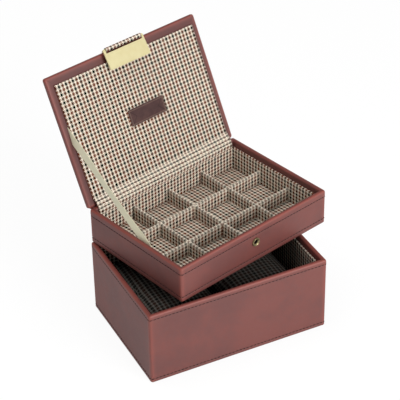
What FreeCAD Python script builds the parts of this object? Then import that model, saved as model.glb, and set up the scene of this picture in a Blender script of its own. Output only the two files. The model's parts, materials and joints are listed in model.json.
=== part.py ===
import FreeCAD, Part
import math
import os

# Two stacking boxes covered in leather. The deep lower box is open and holds two watch pillows. The
# shallow upper box is a cufflink tray of twelve compartments under a hinged lid, and it stands askew
# on the lower one, with its back left corners together and its lid held open by a ribbon.
#
# Row frame: X along the lower box, Y towards its back, Z up, origin under its middle on the table.
# The tray and its lid are drawn square in the tray's own frame, with the lid shut and the tab
# hanging down in front, and then folded open and turned into their places.

# ---------------------------------------------------------------- driving sizes, mm and degrees
BOX_LENGTH = 180.0
BOX_DEPTH = 127.2
BASE_HEIGHT = 76.0
TRAY_HEIGHT = 36.2
LID_THICKNESS = 5.0

TRAY_TURN = 15.4            # tray's angle on the lower box, counter-clockwise from above
CORNER_SLIP_X = 0.9         # how far the tray's back left corner lies off the lower box's
CORNER_SLIP_Y = 0.5
LID_OPEN = 115.6            # lid's angle from shut, where the ribbon stops it
TAB_FOLD = 80.8             # tab's angle from hanging, folded in over the open lid

LEATHER = 0.9
WALL_BOARD = 2.6
CORNER_RADIUS = 2.2         # upright outer corners
INNER_RADIUS = 0.6          # upright inner corners of the leather rim
RIM_CROWN = 1.9             # rounding of the rim's two upper edges
LIP_DEPTH = 6.2             # bare leather inside, above the lining
TURN_IN = 10.0              # leather carried down behind the lining
SKIN_LIFT = 0.4             # foot of the leather above the felt's underside

FELT = 1.0
FLOOR_BOARD = 3.0
FELT_INSET = 0.5
LINING = 2.0                # cloth-covered lining board
LINING_EDGE = 0.6
TRAY_PAD = 2.7
BASE_PAD = 2.0

COLUMNS = 4
ROWS = 3
DIVIDER = 2.8
DIVIDER_HEIGHT = 14.0
DIVIDER_EDGE = 1.0
LAP_CLEARANCE = 0.15        # all round a half-lap joint
END_CLEARANCE = 0.1         # divider's end to the lining

PILLOW_TOP = 58.0
PILLOW_EDGE = 11.0
PILLOW_GAP = 0.4            # pillow to lining and floor
PILLOW_SPACE = 1.6          # between the two pillows
END_SPACE = 12.0            # right pillow to the lining

LID_GAP = 0.15              # lid's frame above the tray's rim when shut
LID_EDGE = 1.6
LID_FRAME = 14.0            # width of leather turned in under the lid
PANEL_SIDE = 2.4            # lining panel to the rim's inside, at the ends
PANEL_FRONT = 4.4           # the same at the front
PANEL_BACK = 6.2            # hinge line to the panel
PANEL_BOARD = 1.2
PANEL_CUSHION = 1.2
PANEL_EDGE = 0.7
PATCH_LENGTH = 42.5
PATCH_DEPTH = 16.0
PATCH_THICKNESS = 0.8
PATCH_SHIFT = 3.1           # patch off the lid's middle line
PATCH_DROP = 1.5            # patch off the panel's middle, towards the hinge
PATCH_CORNER = 1.0
PATCH_EDGE = 0.25

PLATE_LENGTH = 48.0
PLATE_HEIGHT = 20.2
PLATE_THICKNESS = 1.2
PLATE_CORNER = 1.2
PLATE_EDGE = 0.3
PLATE_BAR = 2.0             # bar above the plate's slot
SLOT_HEIGHT = 2.4
STRAP_WIDTH = 42.0
SLOT_SPARE = 0.4            # slot longer than the strap at each end
STRAP = 0.65                # thickness of the doubled cloth
LOOP_BORE = 1.3             # radius inside the strap's loop, in which the bar turns
TAIL_GAP = 0.75             # strap's tail to the bend
TAB_OUT = 2.0               # bend of the strap in front of the lid's edge
TAB_DROP = 1.8              # bend of the strap below the rim
PLATE_OUT = 2.5             # bend to the plate's middle plane
PLATE_RISE = 1.2            # plate's top edge above the bend
STRAP_ROOT = 2.5            # height above the rim where the strap leaves the lid

SOCKET_DROP = 14.3          # snap's centre below the tray's rim
SOCKET_RADIUS = 4.4
SOCKET_HEIGHT = 1.4
SOCKET_RIM = 0.5            # upright edge of the ring
SOCKET_BORE = 2.1
SOCKET_DEPTH = 2.6          # bore below the leather's face
SOCKET_WALL = 0.5
SOCKET_FIT = 0.05           # cup in its hole
STUD_LENGTH = 2.2
STUD_RADIUS = 1.6
STUD_NECK = 1.1
STUD_HEAD = 1.1             # height of the rounded head
STUD_ROUND = 0.4
STUD_FLANGE = 3.4
STUD_FLANGE_HEIGHT = 0.5

RIBBON_WIDTH = 8.6
RIBBON_THICKNESS = 0.35
RIBBON_GAP = 0.15           # ribbon to the leather beside it
RIBBON_FOOT_Y = -9.0        # ribbon's lower end along the tray
RIBBON_HEAD = 74.0          # ribbon's upper end, from the hinge along the lid
RIBBON_SAG = 5.5
RIBBON_SEAT = 0.2           # ribbon's cut ends to what they meet
RIBBON_OVERRUN = 12.0       # spare length that the two end cuts take off

HINGE_MARGIN = 7.0          # hinge strips short of the box's ends
HINGE_CLOTH = 0.8
HINGE_CLOTH_GAP = 0.3
HINGE_CLOTH_RISE = 2.4      # cloth's bridge above the rim
HINGE_CLOTH_END = 0.4       # cloth's end to the lid's panel
HINGE_LEATHER_DROP = 9.0

ALONG_WITHIN = 2.5          # degrees off a direction at which an edge still runs along it
SAME_HEIGHT = 1e-4          # heights closer than this are one height

# ---------------------------------------------------------------- sizes that follow from them
HALF_X = BOX_LENGTH / 2
HALF_Y = BOX_DEPTH / 2
WALL = WALL_BOARD + 2 * LEATHER
BOARD_FACE_X = HALF_X - LEATHER - WALL_BOARD
BOARD_FACE_Y = HALF_Y - LEATHER - WALL_BOARD
INSIDE_X = HALF_X - WALL - LINING
INSIDE_Y = HALF_Y - WALL - LINING
FLOOR_TOP = FELT + FLOOR_BOARD
TRAY_FLOOR = FLOOR_TOP + TRAY_PAD
BASE_FLOOR = FLOOR_TOP + BASE_PAD
PILLOW_LENGTH = (2 * INSIDE_X - PILLOW_GAP - PILLOW_SPACE - END_SPACE) / 2
LINING_TOP = TRAY_HEIGHT - LIP_DEPTH
LID_BOTTOM = TRAY_HEIGHT + LID_GAP
PANEL_X = HALF_X - WALL - PANEL_SIDE
PANEL_FRONT_Y = -HALF_Y + WALL + PANEL_FRONT
PANEL_BACK_Y = HALF_Y - PANEL_BACK
CUSHION_TOP = LID_BOTTOM - PANEL_BOARD
CUSHION_FACE = CUSHION_TOP - PANEL_CUSHION
BEND_Y = -HALF_Y - TAB_OUT
BEND_Z = TRAY_HEIGHT - TAB_DROP
PLATE_Y = BEND_Y - PLATE_OUT
PLATE_TOP = BEND_Z + PLATE_RISE
BAR_Z = PLATE_TOP - PLATE_BAR / 2
SNAP_Z = TRAY_HEIGHT - SOCKET_DROP

ALONG = math.cos(math.radians(ALONG_WITHIN))
X = FreeCAD.Vector(1, 0, 0)
Y = FreeCAD.Vector(0, 1, 0)
Z = FreeCAD.Vector(0, 0, 1)
SIDES = ("front", "right", "back", "left")


# ---------------------------------------------------------------- small helpers
def save(name, shape):
    """Write one sub-part to its own STEP file."""
    shape.exportStep("parts/" + name + ".step")


def block(x0, x1, y0, y1, z0, z1):
    """Box between two corners."""
    return Part.makeBox(x1 - x0, y1 - y0, z1 - z0, FreeCAD.Vector(x0, y0, z0))


def edges_along(shape, direction):
    """Straight edges that run along a direction."""
    return [e for e in shape.Edges if abs(e.tangentAt(e.FirstParameter).dot(direction)) > ALONG]


def edges_at(shape, z):
    """Edges that lie wholly in the level plane at z."""
    return [e for e in shape.Edges
            if abs(e.BoundBox.ZMin - z) < SAME_HEIGHT and abs(e.BoundBox.ZMax - z) < SAME_HEIGHT]


def rounded_block(half_x, half_y, z0, z1, radius):
    """Block about the Z axis with rounded upright corners."""
    shape = block(-half_x, half_x, -half_y, half_y, z0, z1)
    return shape.makeFillet(radius, edges_along(shape, Z))


def cylinder(radius, start, direction, length):
    """Round bar from a start point along a direction."""
    return Part.makeCylinder(radius, length, start, direction)


def extrude_profile(edges, along):
    """Solid made by pushing a closed profile of edges along a vector."""
    return Part.Face(Part.Wire(edges)).extrude(along)


def line(a, b):
    """Straight edge."""
    return Part.LineSegment(a, b).toShape()


def arc(a, middle, b):
    """Round edge through three points."""
    return Part.Arc(a, middle, b).toShape()


# ---------------------------------------------------------------- placing
def in_tray(shape):
    """Turn and shift a shape from the tray's frame into the row frame."""
    turn = math.radians(TRAY_TURN)
    corner_x = -HALF_X * math.cos(turn) - HALF_Y * math.sin(turn)
    corner_y = -HALF_X * math.sin(turn) + HALF_Y * math.cos(turn)
    placed = shape.copy()
    placed.rotate(FreeCAD.Vector(0, 0, 0), Z, TRAY_TURN)
    placed.translate(FreeCAD.Vector(CORNER_SLIP_X - HALF_X - corner_x,
                                    CORNER_SLIP_Y + HALF_Y - corner_y, BASE_HEIGHT))
    return placed


def lid_opened(shape):
    """Swing a shape of the shut lid about the hinge line to its open place, in the tray's frame."""
    opened = shape.copy()
    opened.rotate(FreeCAD.Vector(0, HALF_Y, TRAY_HEIGHT), X, -LID_OPEN)
    return opened


def in_lid(shape):
    """Place a shape drawn on the shut lid."""
    return in_tray(lid_opened(shape))


def in_tab(shape):
    """Place a shape drawn on the hanging tab: folded in over the lid, then opened with it."""
    folded = shape.copy()
    folded.rotate(FreeCAD.Vector(0, BEND_Y, BEND_Z), X, TAB_FOLD)
    return in_lid(folded)


# ---------------------------------------------------------------- walls, covers and linings
def crowned_ring(outer, hollow, z1, crown):
    """Four walls in one, with both upper edges of the rim rounded."""
    ring = outer.cut(hollow)
    return ring.makeFillet(crown, edges_at(ring, z1))


def board_ring(height):
    """The wall boards before they are sawn apart at the corners."""
    top = height - LEATHER
    outer = rounded_block(HALF_X - LEATHER, HALF_Y - LEATHER, FELT, top, CORNER_RADIUS - LEATHER)
    hollow = block(-BOARD_FACE_X, BOARD_FACE_X, -BOARD_FACE_Y, BOARD_FACE_Y, FELT, top)
    return crowned_ring(outer, hollow, top, RIM_CROWN - LEATHER)


def leather_ring(height):
    """Leather that covers the walls outside, wraps over the rim and turns in behind the lining."""
    outer = rounded_block(HALF_X, HALF_Y, SKIN_LIFT, height, CORNER_RADIUS)
    hollow = rounded_block(HALF_X - WALL, HALF_Y - WALL, SKIN_LIFT, height, INNER_RADIUS)
    skin = crowned_ring(outer, hollow, height, RIM_CROWN).cut(board_ring(height))
    under = rounded_block(HALF_X - LEATHER, HALF_Y - LEATHER, SKIN_LIFT, FELT, CORNER_RADIUS - LEATHER)
    below = block(-BOARD_FACE_X, BOARD_FACE_X, -BOARD_FACE_Y, BOARD_FACE_Y, FELT, height - TURN_IN)
    return skin.cut(under).cut(below)


def mitre_wedge(side, height):
    """Block that takes one side of a ring, cut at 45 degrees through its two corners."""
    inward = 3 * WALL
    out = LEATHER
    half = HALF_Y if side in ("left", "right") else HALF_X
    reach = HALF_X if side in ("left", "right") else HALF_Y
    points = [FreeCAD.Vector(-half - out, -reach - out, 0), FreeCAD.Vector(half + out, -reach - out, 0),
              FreeCAD.Vector(half - inward, -reach + inward, 0), FreeCAD.Vector(-half + inward, -reach + inward, 0)]
    wedge = Part.Face(Part.makePolygon(points + points[:1])).extrude(FreeCAD.Vector(0, 0, height))
    wedge.rotate(FreeCAD.Vector(0, 0, 0), Z, 90 * SIDES.index(side))
    return wedge


def board_slab(side, height):
    """Block that takes one wall board: front and back run the full length, the ends fit between."""
    if side == "front":
        return block(-HALF_X, HALF_X, -HALF_Y, -BOARD_FACE_Y, 0, height)
    if side == "back":
        return block(-HALF_X, HALF_X, BOARD_FACE_Y, HALF_Y, 0, height)
    if side == "left":
        return block(-HALF_X, 0, -BOARD_FACE_Y, BOARD_FACE_Y, 0, height)
    return block(0, HALF_X, -BOARD_FACE_Y, BOARD_FACE_Y, 0, height)


def lining_board(side, top):
    """Cloth-covered board along one wall, from the floor board to below the rim."""
    outer_x = HALF_X - WALL
    outer_y = HALF_Y - WALL
    if side == "front":
        board = block(-outer_x, outer_x, -outer_y, -INSIDE_Y, FLOOR_TOP, top)
    elif side == "back":
        board = block(-outer_x, outer_x, INSIDE_Y, outer_y, FLOOR_TOP, top)
    elif side == "left":
        board = block(-outer_x, -INSIDE_X, -INSIDE_Y, INSIDE_Y, FLOOR_TOP, top)
    else:
        board = block(INSIDE_X, outer_x, -INSIDE_Y, INSIDE_Y, FLOOR_TOP, top)
    return board.makeFillet(LINING_EDGE, [e for e in edges_at(board, top) if e.Length > 2 * LINING])


def open_box(height, pad):
    """Every fixed piece of one open box, standing at the origin, by name."""
    pieces = {}
    boards = board_ring(height)
    skin = leather_ring(height)
    for side in SIDES:
        pieces["wall_" + side] = boards.common(board_slab(side, height))
        pieces["leather_" + side] = skin.common(mitre_wedge(side, height))
        pieces["lining_" + side] = lining_board(side, height - LIP_DEPTH)
    pieces["floor_board"] = block(-BOARD_FACE_X, BOARD_FACE_X, -BOARD_FACE_Y, BOARD_FACE_Y, FELT, FLOOR_TOP)
    pieces["floor_pad"] = block(-INSIDE_X, INSIDE_X, -INSIDE_Y, INSIDE_Y, FLOOR_TOP, FLOOR_TOP + pad)
    inset = LEATHER + FELT_INSET
    pieces["felt"] = rounded_block(HALF_X - inset, HALF_Y - inset, 0, FELT, CORNER_RADIUS)
    return pieces


# ---------------------------------------------------------------- compartments
def grid_places(inside, count):
    """Middles of the dividers that split an inside width into equal compartments."""
    room = (2 * inside - (count - 1) * DIVIDER) / count
    return [-inside + (i + 1) * room + (i + 0.5) * DIVIDER for i in range(count - 1)]


def divider(half_length, notches, from_top):
    """Divider along X, with a half-lap notch at each crossing, cut from its top or its bottom edge."""
    top = TRAY_FLOOR + DIVIDER_HEIGHT
    half = DIVIDER / 2
    slab = block(-half_length, half_length, -half, half, TRAY_FLOOR, top)
    slab = slab.makeFillet(DIVIDER_EDGE, [e for e in edges_at(slab, top) if e.Length > 2 * DIVIDER])
    middle = TRAY_FLOOR + DIVIDER_HEIGHT / 2
    low, high = (middle, top) if from_top else (TRAY_FLOOR, middle)
    for place in notches:
        slab = slab.cut(block(place - half - LAP_CLEARANCE, place + half + LAP_CLEARANCE,
                              -DIVIDER, DIVIDER, low, high))
    return slab


def compartment_grid():
    """Two long dividers and three cross dividers, lapped through each other like an egg crate."""
    crossings_x = grid_places(INSIDE_X, COLUMNS)
    crossings_y = grid_places(INSIDE_Y, ROWS)
    pieces = {}
    for i, place in enumerate(crossings_y):
        piece = divider(INSIDE_X - END_CLEARANCE, crossings_x, True)
        piece.translate(FreeCAD.Vector(0, place, 0))
        pieces["long_divider_%d" % (i + 1)] = piece
    for i, place in enumerate(crossings_x):
        piece = divider(INSIDE_Y - END_CLEARANCE, crossings_y, False)
        piece.rotate(FreeCAD.Vector(0, 0, 0), Z, 90)
        piece.translate(FreeCAD.Vector(place, 0, 0))
        pieces["cross_divider_%d" % (i + 1)] = piece
    return pieces


# ---------------------------------------------------------------- press snap
def snap_place(depth):
    """Point on the snap's axis, a distance in front of the tray's front face."""
    return FreeCAD.Vector(0, -HALF_Y - depth, SNAP_Z)


def revolved(points):
    """Solid turned about the snap's axis from (radius, height above the leather) points."""
    outline = [FreeCAD.Vector(radius, -HALF_Y - height, SNAP_Z) for radius, height in points]
    return Part.Face(Part.makePolygon(outline + outline[:1])).revolve(snap_place(0), Y, 360)


def snap_ring():
    """Dished brass ring on the leather: a rounded outer slope and a slope down to the mouth."""
    crest = (SOCKET_BORE + SOCKET_RADIUS) / 2
    shoulder = (crest + SOCKET_RADIUS) / 2
    return revolved([(SOCKET_BORE, 0), (SOCKET_RADIUS, 0), (SOCKET_RADIUS, SOCKET_RIM),
                     (shoulder, SOCKET_HEIGHT), (crest, SOCKET_HEIGHT), (SOCKET_BORE, SOCKET_HEIGHT / 2)])


def snap_cup():
    """Sprung cup let into the leather and the board."""
    outer = SOCKET_BORE + SOCKET_WALL
    points = [(0, -SOCKET_DEPTH), (0, -SOCKET_DEPTH - SOCKET_WALL), (outer, -SOCKET_DEPTH - SOCKET_WALL),
              (outer, 0), (SOCKET_BORE, 0), (SOCKET_BORE, -SOCKET_DEPTH)]
    return revolved(points)


def snap_hole():
    """Hole for the cup through the leather and into the wall board."""
    radius = SOCKET_BORE + SOCKET_WALL + SOCKET_FIT
    return cylinder(radius, snap_place(LEATHER), Y, LEATHER + SOCKET_DEPTH + SOCKET_WALL + SOCKET_FIT)


def snap_stud():
    """Stud on the plate's back: flange, neck and rounded head."""
    back = -PLATE_Y - HALF_Y - PLATE_THICKNESS / 2
    tip = back - STUD_LENGTH
    flange = cylinder(STUD_FLANGE, snap_place(back), Y, STUD_FLANGE_HEIGHT)
    neck = cylinder(STUD_NECK, snap_place(back), Y, STUD_LENGTH - STUD_HEAD)
    head = cylinder(STUD_RADIUS, snap_place(tip + STUD_HEAD), Y, STUD_HEAD)
    head = head.makeChamfer(STUD_ROUND, [e for e in head.Edges if e.Closed])
    return flange.fuse(neck).fuse(head).removeSplitter()


# ---------------------------------------------------------------- tray
def tray_pieces():
    """The open tray with its compartments and the snap's socket."""
    pieces = open_box(TRAY_HEIGHT, TRAY_PAD)
    for name in ("wall_front", "leather_front"):
        pieces[name] = pieces[name].cut(snap_hole())
    pieces.update(compartment_grid())
    pieces["snap_ring"] = snap_ring()
    pieces["snap_cup"] = snap_cup()
    return pieces


# ---------------------------------------------------------------- lid
def lid_board():
    """Stiff board inside the lid."""
    return rounded_block(HALF_X - LEATHER, HALF_Y - LEATHER, LID_BOTTOM + LEATHER,
                         LID_BOTTOM + LID_THICKNESS - LEATHER, CORNER_RADIUS - LEATHER)


def lid_leather():
    """Leather over the lid, round its edges and turned in as a frame underneath."""
    top = LID_BOTTOM + LID_THICKNESS
    cover = rounded_block(HALF_X, HALF_Y, LID_BOTTOM, top, CORNER_RADIUS)
    cover = cover.makeFillet(LID_EDGE, edges_at(cover, top) + edges_at(cover, LID_BOTTOM))
    window = block(-HALF_X + LID_FRAME, HALF_X - LID_FRAME, -HALF_Y + LID_FRAME, HALF_Y - LID_FRAME,
                   LID_BOTTOM, LID_BOTTOM + LEATHER)
    return cover.cut(lid_board()).cut(window)


def panel_board():
    """Board that carries the lid's lining."""
    return block(-PANEL_X, PANEL_X, PANEL_FRONT_Y, PANEL_BACK_Y, CUSHION_TOP, LID_BOTTOM)


def panel_cushion():
    """Thin padding and cloth on the lining board, which sinks inside the tray's rim when shut."""
    cushion = block(-PANEL_X, PANEL_X, PANEL_FRONT_Y, PANEL_BACK_Y, CUSHION_FACE, CUSHION_TOP)
    return cushion.makeFillet(PANEL_EDGE, edges_at(cushion, CUSHION_FACE))


def patch():
    """Small leather patch sewn on the middle of the lining."""
    middle_y = (PANEL_FRONT_Y + PANEL_BACK_Y) / 2 + PATCH_DROP
    shape = rounded_block(PATCH_LENGTH / 2, PATCH_DEPTH / 2, CUSHION_FACE - PATCH_THICKNESS, CUSHION_FACE,
                          PATCH_CORNER)
    shape = shape.makeChamfer(PATCH_EDGE, edges_at(shape, CUSHION_FACE - PATCH_THICKNESS))
    shape.translate(FreeCAD.Vector(PATCH_SHIFT, middle_y, 0))
    return shape


# ---------------------------------------------------------------- closing tab
def strap_tail():
    """Cloth that comes out of the lid's front edge and turns down towards the bend."""
    half = STRAP / 2
    edge_y = -HALF_Y
    root_z = TRAY_HEIGHT + STRAP_ROOT
    turn = TAB_OUT
    outer = turn + half
    inner = turn - half
    foot_z = BEND_Z + STRAP / 2 + TAIL_GAP
    knee_z = root_z - turn
    bow = math.sqrt(0.5)
    start = -STRAP_WIDTH / 2

    def at(out, z):
        return FreeCAD.Vector(start, edge_y - out, z)

    edges = [line(at(0, root_z - half), at(0, root_z + half)),
             arc(at(0, root_z + half), at(outer * bow, knee_z + outer * bow), at(outer, knee_z)),
             line(at(outer, knee_z), at(outer, foot_z)),
             line(at(outer, foot_z), at(inner, foot_z)),
             line(at(inner, foot_z), at(inner, knee_z)),
             arc(at(inner, knee_z), at(inner * bow, knee_z + inner * bow), at(0, root_z - half))]
    return extrude_profile(edges, FreeCAD.Vector(STRAP_WIDTH, 0, 0))


def strap_loop():
    """Cloth loop round the plate's bar, with a tongue back to the bend."""
    start = FreeCAD.Vector(-STRAP_WIDTH / 2, PLATE_Y, BAR_Z)
    tube = cylinder(LOOP_BORE + STRAP, start, X, STRAP_WIDTH)
    tongue = block(-STRAP_WIDTH / 2, STRAP_WIDTH / 2, PLATE_Y, BEND_Y + STRAP / 2,
                   BEND_Z - STRAP / 2, BEND_Z + STRAP / 2)
    return tube.fuse(tongue).cut(cylinder(LOOP_BORE, start, X, STRAP_WIDTH))


def tab_plate():
    """Brass plate with a slot for the strap."""
    half = PLATE_LENGTH / 2
    bottom = PLATE_TOP - PLATE_HEIGHT
    plate = block(-half, half, PLATE_Y - PLATE_THICKNESS / 2, PLATE_Y + PLATE_THICKNESS / 2, bottom, PLATE_TOP)
    plate = plate.makeFillet(PLATE_CORNER, edges_along(plate, Y))
    front = [e for e in plate.Edges if e.BoundBox.YMax < PLATE_Y]
    plate = plate.makeChamfer(PLATE_EDGE, front)
    slot_top = PLATE_TOP - PLATE_BAR
    slot_half = STRAP_WIDTH / 2 + SLOT_SPARE
    slot = block(-slot_half, slot_half, PLATE_Y - PLATE_THICKNESS, PLATE_Y + PLATE_THICKNESS,
                 slot_top - SLOT_HEIGHT, slot_top)
    return plate.cut(slot)


# ---------------------------------------------------------------- hinge and stay, in the tray's frame
def lid_point(along, above):
    """Point in the tray's YZ plane from the open lid: along it from the hinge, and off its frame."""
    angle = math.radians(180 - LID_OPEN)
    y = HALF_Y + along * math.cos(angle) - above * math.sin(angle)
    z = TRAY_HEIGHT + along * math.sin(angle) + above * math.cos(angle)
    return y, z


def hinge_leather():
    """Leather strip behind the hinge: glued to the back wall and to the lid's back edge."""
    start = -HALF_X + HINGE_MARGIN
    width = FreeCAD.Vector(2 * (HALF_X - HINGE_MARGIN), 0, 0)
    edge_y, edge_z = lid_point(0, -LID_THICKNESS + LID_EDGE)
    skin_y, skin_z = lid_point(-LEATHER, -LID_THICKNESS + LID_EDGE)
    low_z = TRAY_HEIGHT - HINGE_LEATHER_DROP
    crown_z = TRAY_HEIGHT - RIM_CROWN
    knee_y, knee_z = lid_point(-LEATHER, -LEATHER - LID_EDGE)
    root_y, root_z = lid_point(0, -LID_EDGE)
    points = [FreeCAD.Vector(start, y, z) for y, z in
              [(HALF_Y, low_z), (HALF_Y + LEATHER, low_z), (HALF_Y + LEATHER, crown_z - LEATHER),
               (knee_y, knee_z - LEATHER), (skin_y, skin_z), (edge_y, edge_z), (root_y, root_z),
               (HALF_Y, crown_z)]]
    return Part.Face(Part.makePolygon(points + points[:1])).extrude(width)


def hinge_cloth():
    """Lining cloth that bridges the hinge from the tray's back lining to the lid's panel."""
    start = -INSIDE_X + HINGE_CLOTH
    width = FreeCAD.Vector(2 * (INSIDE_X - HINGE_CLOTH), 0, 0)
    wall_y = HALF_Y - WALL - HINGE_CLOTH_GAP
    low_z = LINING_TOP + HINGE_CLOTH_GAP
    bend_z = TRAY_HEIGHT - RIM_CROWN / 2
    panel_off = LID_GAP + PANEL_BOARD
    near_y, near_z = lid_point(PANEL_BACK - HINGE_CLOTH_END, panel_off)
    far_y, far_z = lid_point(PANEL_BACK - HINGE_CLOTH_END, panel_off + HINGE_CLOTH)
    crest_y = wall_y + RIM_CROWN
    crest_z = TRAY_HEIGHT + HINGE_CLOTH_RISE

    def at(y, z):
        return FreeCAD.Vector(start, y, z)

    edges = [line(at(wall_y, low_z), at(wall_y, bend_z)),
             arc(at(wall_y, bend_z), at(crest_y, crest_z - HINGE_CLOTH), at(near_y, near_z)),
             line(at(near_y, near_z), at(far_y, far_z)),
             arc(at(far_y, far_z), at(crest_y - HINGE_CLOTH, crest_z), at(wall_y - HINGE_CLOTH, bend_z)),
             line(at(wall_y - HINGE_CLOTH, bend_z), at(wall_y - HINGE_CLOTH, low_z)),
             line(at(wall_y - HINGE_CLOTH, low_z), at(wall_y, low_z))]
    return extrude_profile(edges, width)


def stay_ribbon():
    """Satin ribbon from the tray's left lining to the lid, hung in a slight curve."""
    outer_x = -HALF_X + WALL + RIBBON_GAP
    foot = FreeCAD.Vector(outer_x, RIBBON_FOOT_Y, LINING_TOP)
    head_y, head_z = lid_point(RIBBON_HEAD, LID_GAP)
    head = FreeCAD.Vector(outer_x, head_y, head_z)
    run = (head - foot).normalize()
    across = FreeCAD.Vector(0, -run.z, run.y)
    foot = foot - run * RIBBON_OVERRUN
    head = head + run * RIBBON_OVERRUN
    middle = (foot + head) * 0.5 - across * RIBBON_SAG
    half = across * (RIBBON_WIDTH / 2)
    edges = [arc(foot + half, middle + half, head + half), line(head + half, head - half),
             arc(head - half, middle - half, foot - half), line(foot - half, foot + half)]
    band = extrude_profile(edges, X * RIBBON_THICKNESS)
    below = block(-HALF_X, 0, -HALF_Y, HALF_Y, 0, LINING_TOP + RIBBON_SEAT)
    beyond = lid_opened(block(-HALF_X, 0, -HALF_Y, HALF_Y, LID_BOTTOM - RIBBON_SEAT, LID_BOTTOM + BOX_DEPTH))
    return band.cut(below).cut(beyond)


# ---------------------------------------------------------------- watch pillows
def pillow(middle_x):
    """Soft block that a watch strap closes round."""
    half_y = INSIDE_Y - PILLOW_GAP
    shape = block(middle_x - PILLOW_LENGTH / 2, middle_x + PILLOW_LENGTH / 2, -half_y, half_y,
                  BASE_FLOOR + PILLOW_GAP, PILLOW_TOP)
    return shape.makeFillet(PILLOW_EDGE, edges_along(shape, Y))


# ---------------------------------------------------------------- build
os.makedirs("parts", exist_ok=True)

for name, shape in open_box(BASE_HEIGHT, BASE_PAD).items():
    save("base_" + name, shape)
LEFT_PILLOW = -INSIDE_X + PILLOW_GAP + PILLOW_LENGTH / 2
save("left_pillow", pillow(LEFT_PILLOW))
save("right_pillow", pillow(LEFT_PILLOW + PILLOW_LENGTH + PILLOW_SPACE))

for name, shape in tray_pieces().items():
    save("tray_" + name, in_tray(shape))
save("hinge_leather", in_tray(hinge_leather()))
save("hinge_cloth", in_tray(hinge_cloth()))
save("stay_ribbon", in_tray(stay_ribbon()))

save("lid_board", in_lid(lid_board()))
save("lid_leather", in_lid(lid_leather()))
save("lid_panel_board", in_lid(panel_board()))
save("lid_panel_cushion", in_lid(panel_cushion()))
save("lid_patch", in_lid(patch()))
save("strap_tail", in_lid(strap_tail()))

save("strap_loop", in_tab(strap_loop()))
save("tab_plate", in_tab(tab_plate()))
save("snap_stud", in_tab(snap_stud()))
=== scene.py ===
"""Looks of a stacking cufflink box: leather covers, check cloth, satin ribbon, brass tab and snap.

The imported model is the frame. Sizes come from its nodes and joints, lengths are in metres, and each
sub-assembly is drawn square in a seat of its own (the tray, its lid with the lid shut, the tab with
the tab hanging) and then placed in the row frame.
"""
import json
import logging
import math
from dataclasses import dataclass, replace
from enum import Enum
from typing import Callable, Optional, Sequence

import bmesh
import bpy
import numpy as np
from mathutils import Matrix, Vector


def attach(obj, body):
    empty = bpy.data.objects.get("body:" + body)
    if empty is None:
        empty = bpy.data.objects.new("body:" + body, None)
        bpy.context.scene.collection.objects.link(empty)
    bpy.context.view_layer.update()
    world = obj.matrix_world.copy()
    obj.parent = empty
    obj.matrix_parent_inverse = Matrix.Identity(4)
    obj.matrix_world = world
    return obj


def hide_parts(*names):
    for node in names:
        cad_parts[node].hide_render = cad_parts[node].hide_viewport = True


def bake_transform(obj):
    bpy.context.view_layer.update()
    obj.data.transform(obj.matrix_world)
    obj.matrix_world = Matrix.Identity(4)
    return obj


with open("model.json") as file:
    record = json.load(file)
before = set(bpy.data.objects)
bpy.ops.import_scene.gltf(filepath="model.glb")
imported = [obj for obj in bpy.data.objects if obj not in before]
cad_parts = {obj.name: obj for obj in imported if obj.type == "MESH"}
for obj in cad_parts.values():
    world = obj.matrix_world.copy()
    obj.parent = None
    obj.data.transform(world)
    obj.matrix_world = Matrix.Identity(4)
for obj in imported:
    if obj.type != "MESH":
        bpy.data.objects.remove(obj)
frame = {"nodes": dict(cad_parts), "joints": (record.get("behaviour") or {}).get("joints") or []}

Array = np.ndarray
Number = float | int
Values = Array | float
log = logging.getLogger("cufflink_box")

MM = 0.001
WELD = 0.002 * MM         # points nearer than this become one
SIDES = ("front", "back", "left", "right")
X_AXIS, Z_AXIS = 0, 2
ALONG_X = np.array([1.0, 0, 0])


# ---------------------------------------------------------------- small mathematics
def linear(red: int, green: int, blue: int) -> tuple[float, float, float, float]:
    """Display colour, 0 to 255, as the linear colour that a shader takes.

    Args:
        red, green, blue: The display values.

    Returns:
        Linear red, green, blue and an alpha of 1.
    """
    share = np.array([red, green, blue]) / 255
    curve = np.where(share <= 0.04045, share / 12.92, ((share + 0.055) / 1.055) ** 2.4)
    return (*(float(v) for v in curve), 1.0)


def turn_about(axis: int, angle: float) -> Array:
    """Right-handed rotation matrix about one axis, angle in radians."""
    turn = np.eye(3)
    i, j = (axis + 1) % 3, (axis + 2) % 3
    turn[i, i] = turn[j, j] = math.cos(angle)
    turn[j, i] = math.sin(angle)
    turn[i, j] = -turn[j, i]
    return turn


def smooth_run(points: Array, count: int) -> Array:
    """Curve through given points: a Catmull-Rom cubic, each stretch blending its four nearest points.

    Args:
        points: (n, d) points in order.
        count: How many points to return.

    Returns:
        (count, d) points along the curve.
    """
    padded = np.vstack([2 * points[0] - points[1], points, 2 * points[-1] - points[-2]])
    reach = np.linspace(0, len(points) - 1, count)
    at = np.minimum(reach.astype(int), len(points) - 2)
    f = (reach - at)[:, None]
    a, b, c, d = (padded[at + k] for k in range(4))
    return 0.5 * (2 * b + (c - a) * f + (2 * a - 5 * b + 4 * c - d) * f ** 2
                  + (3 * b - a - 3 * c + d) * f ** 3)


def run_length(points: Array) -> Array:
    """Distance walked along a line of points, starting at 0."""
    return np.concatenate([[0.0], np.cumsum(np.linalg.norm(np.diff(points, axis=0), axis=1))])


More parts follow.
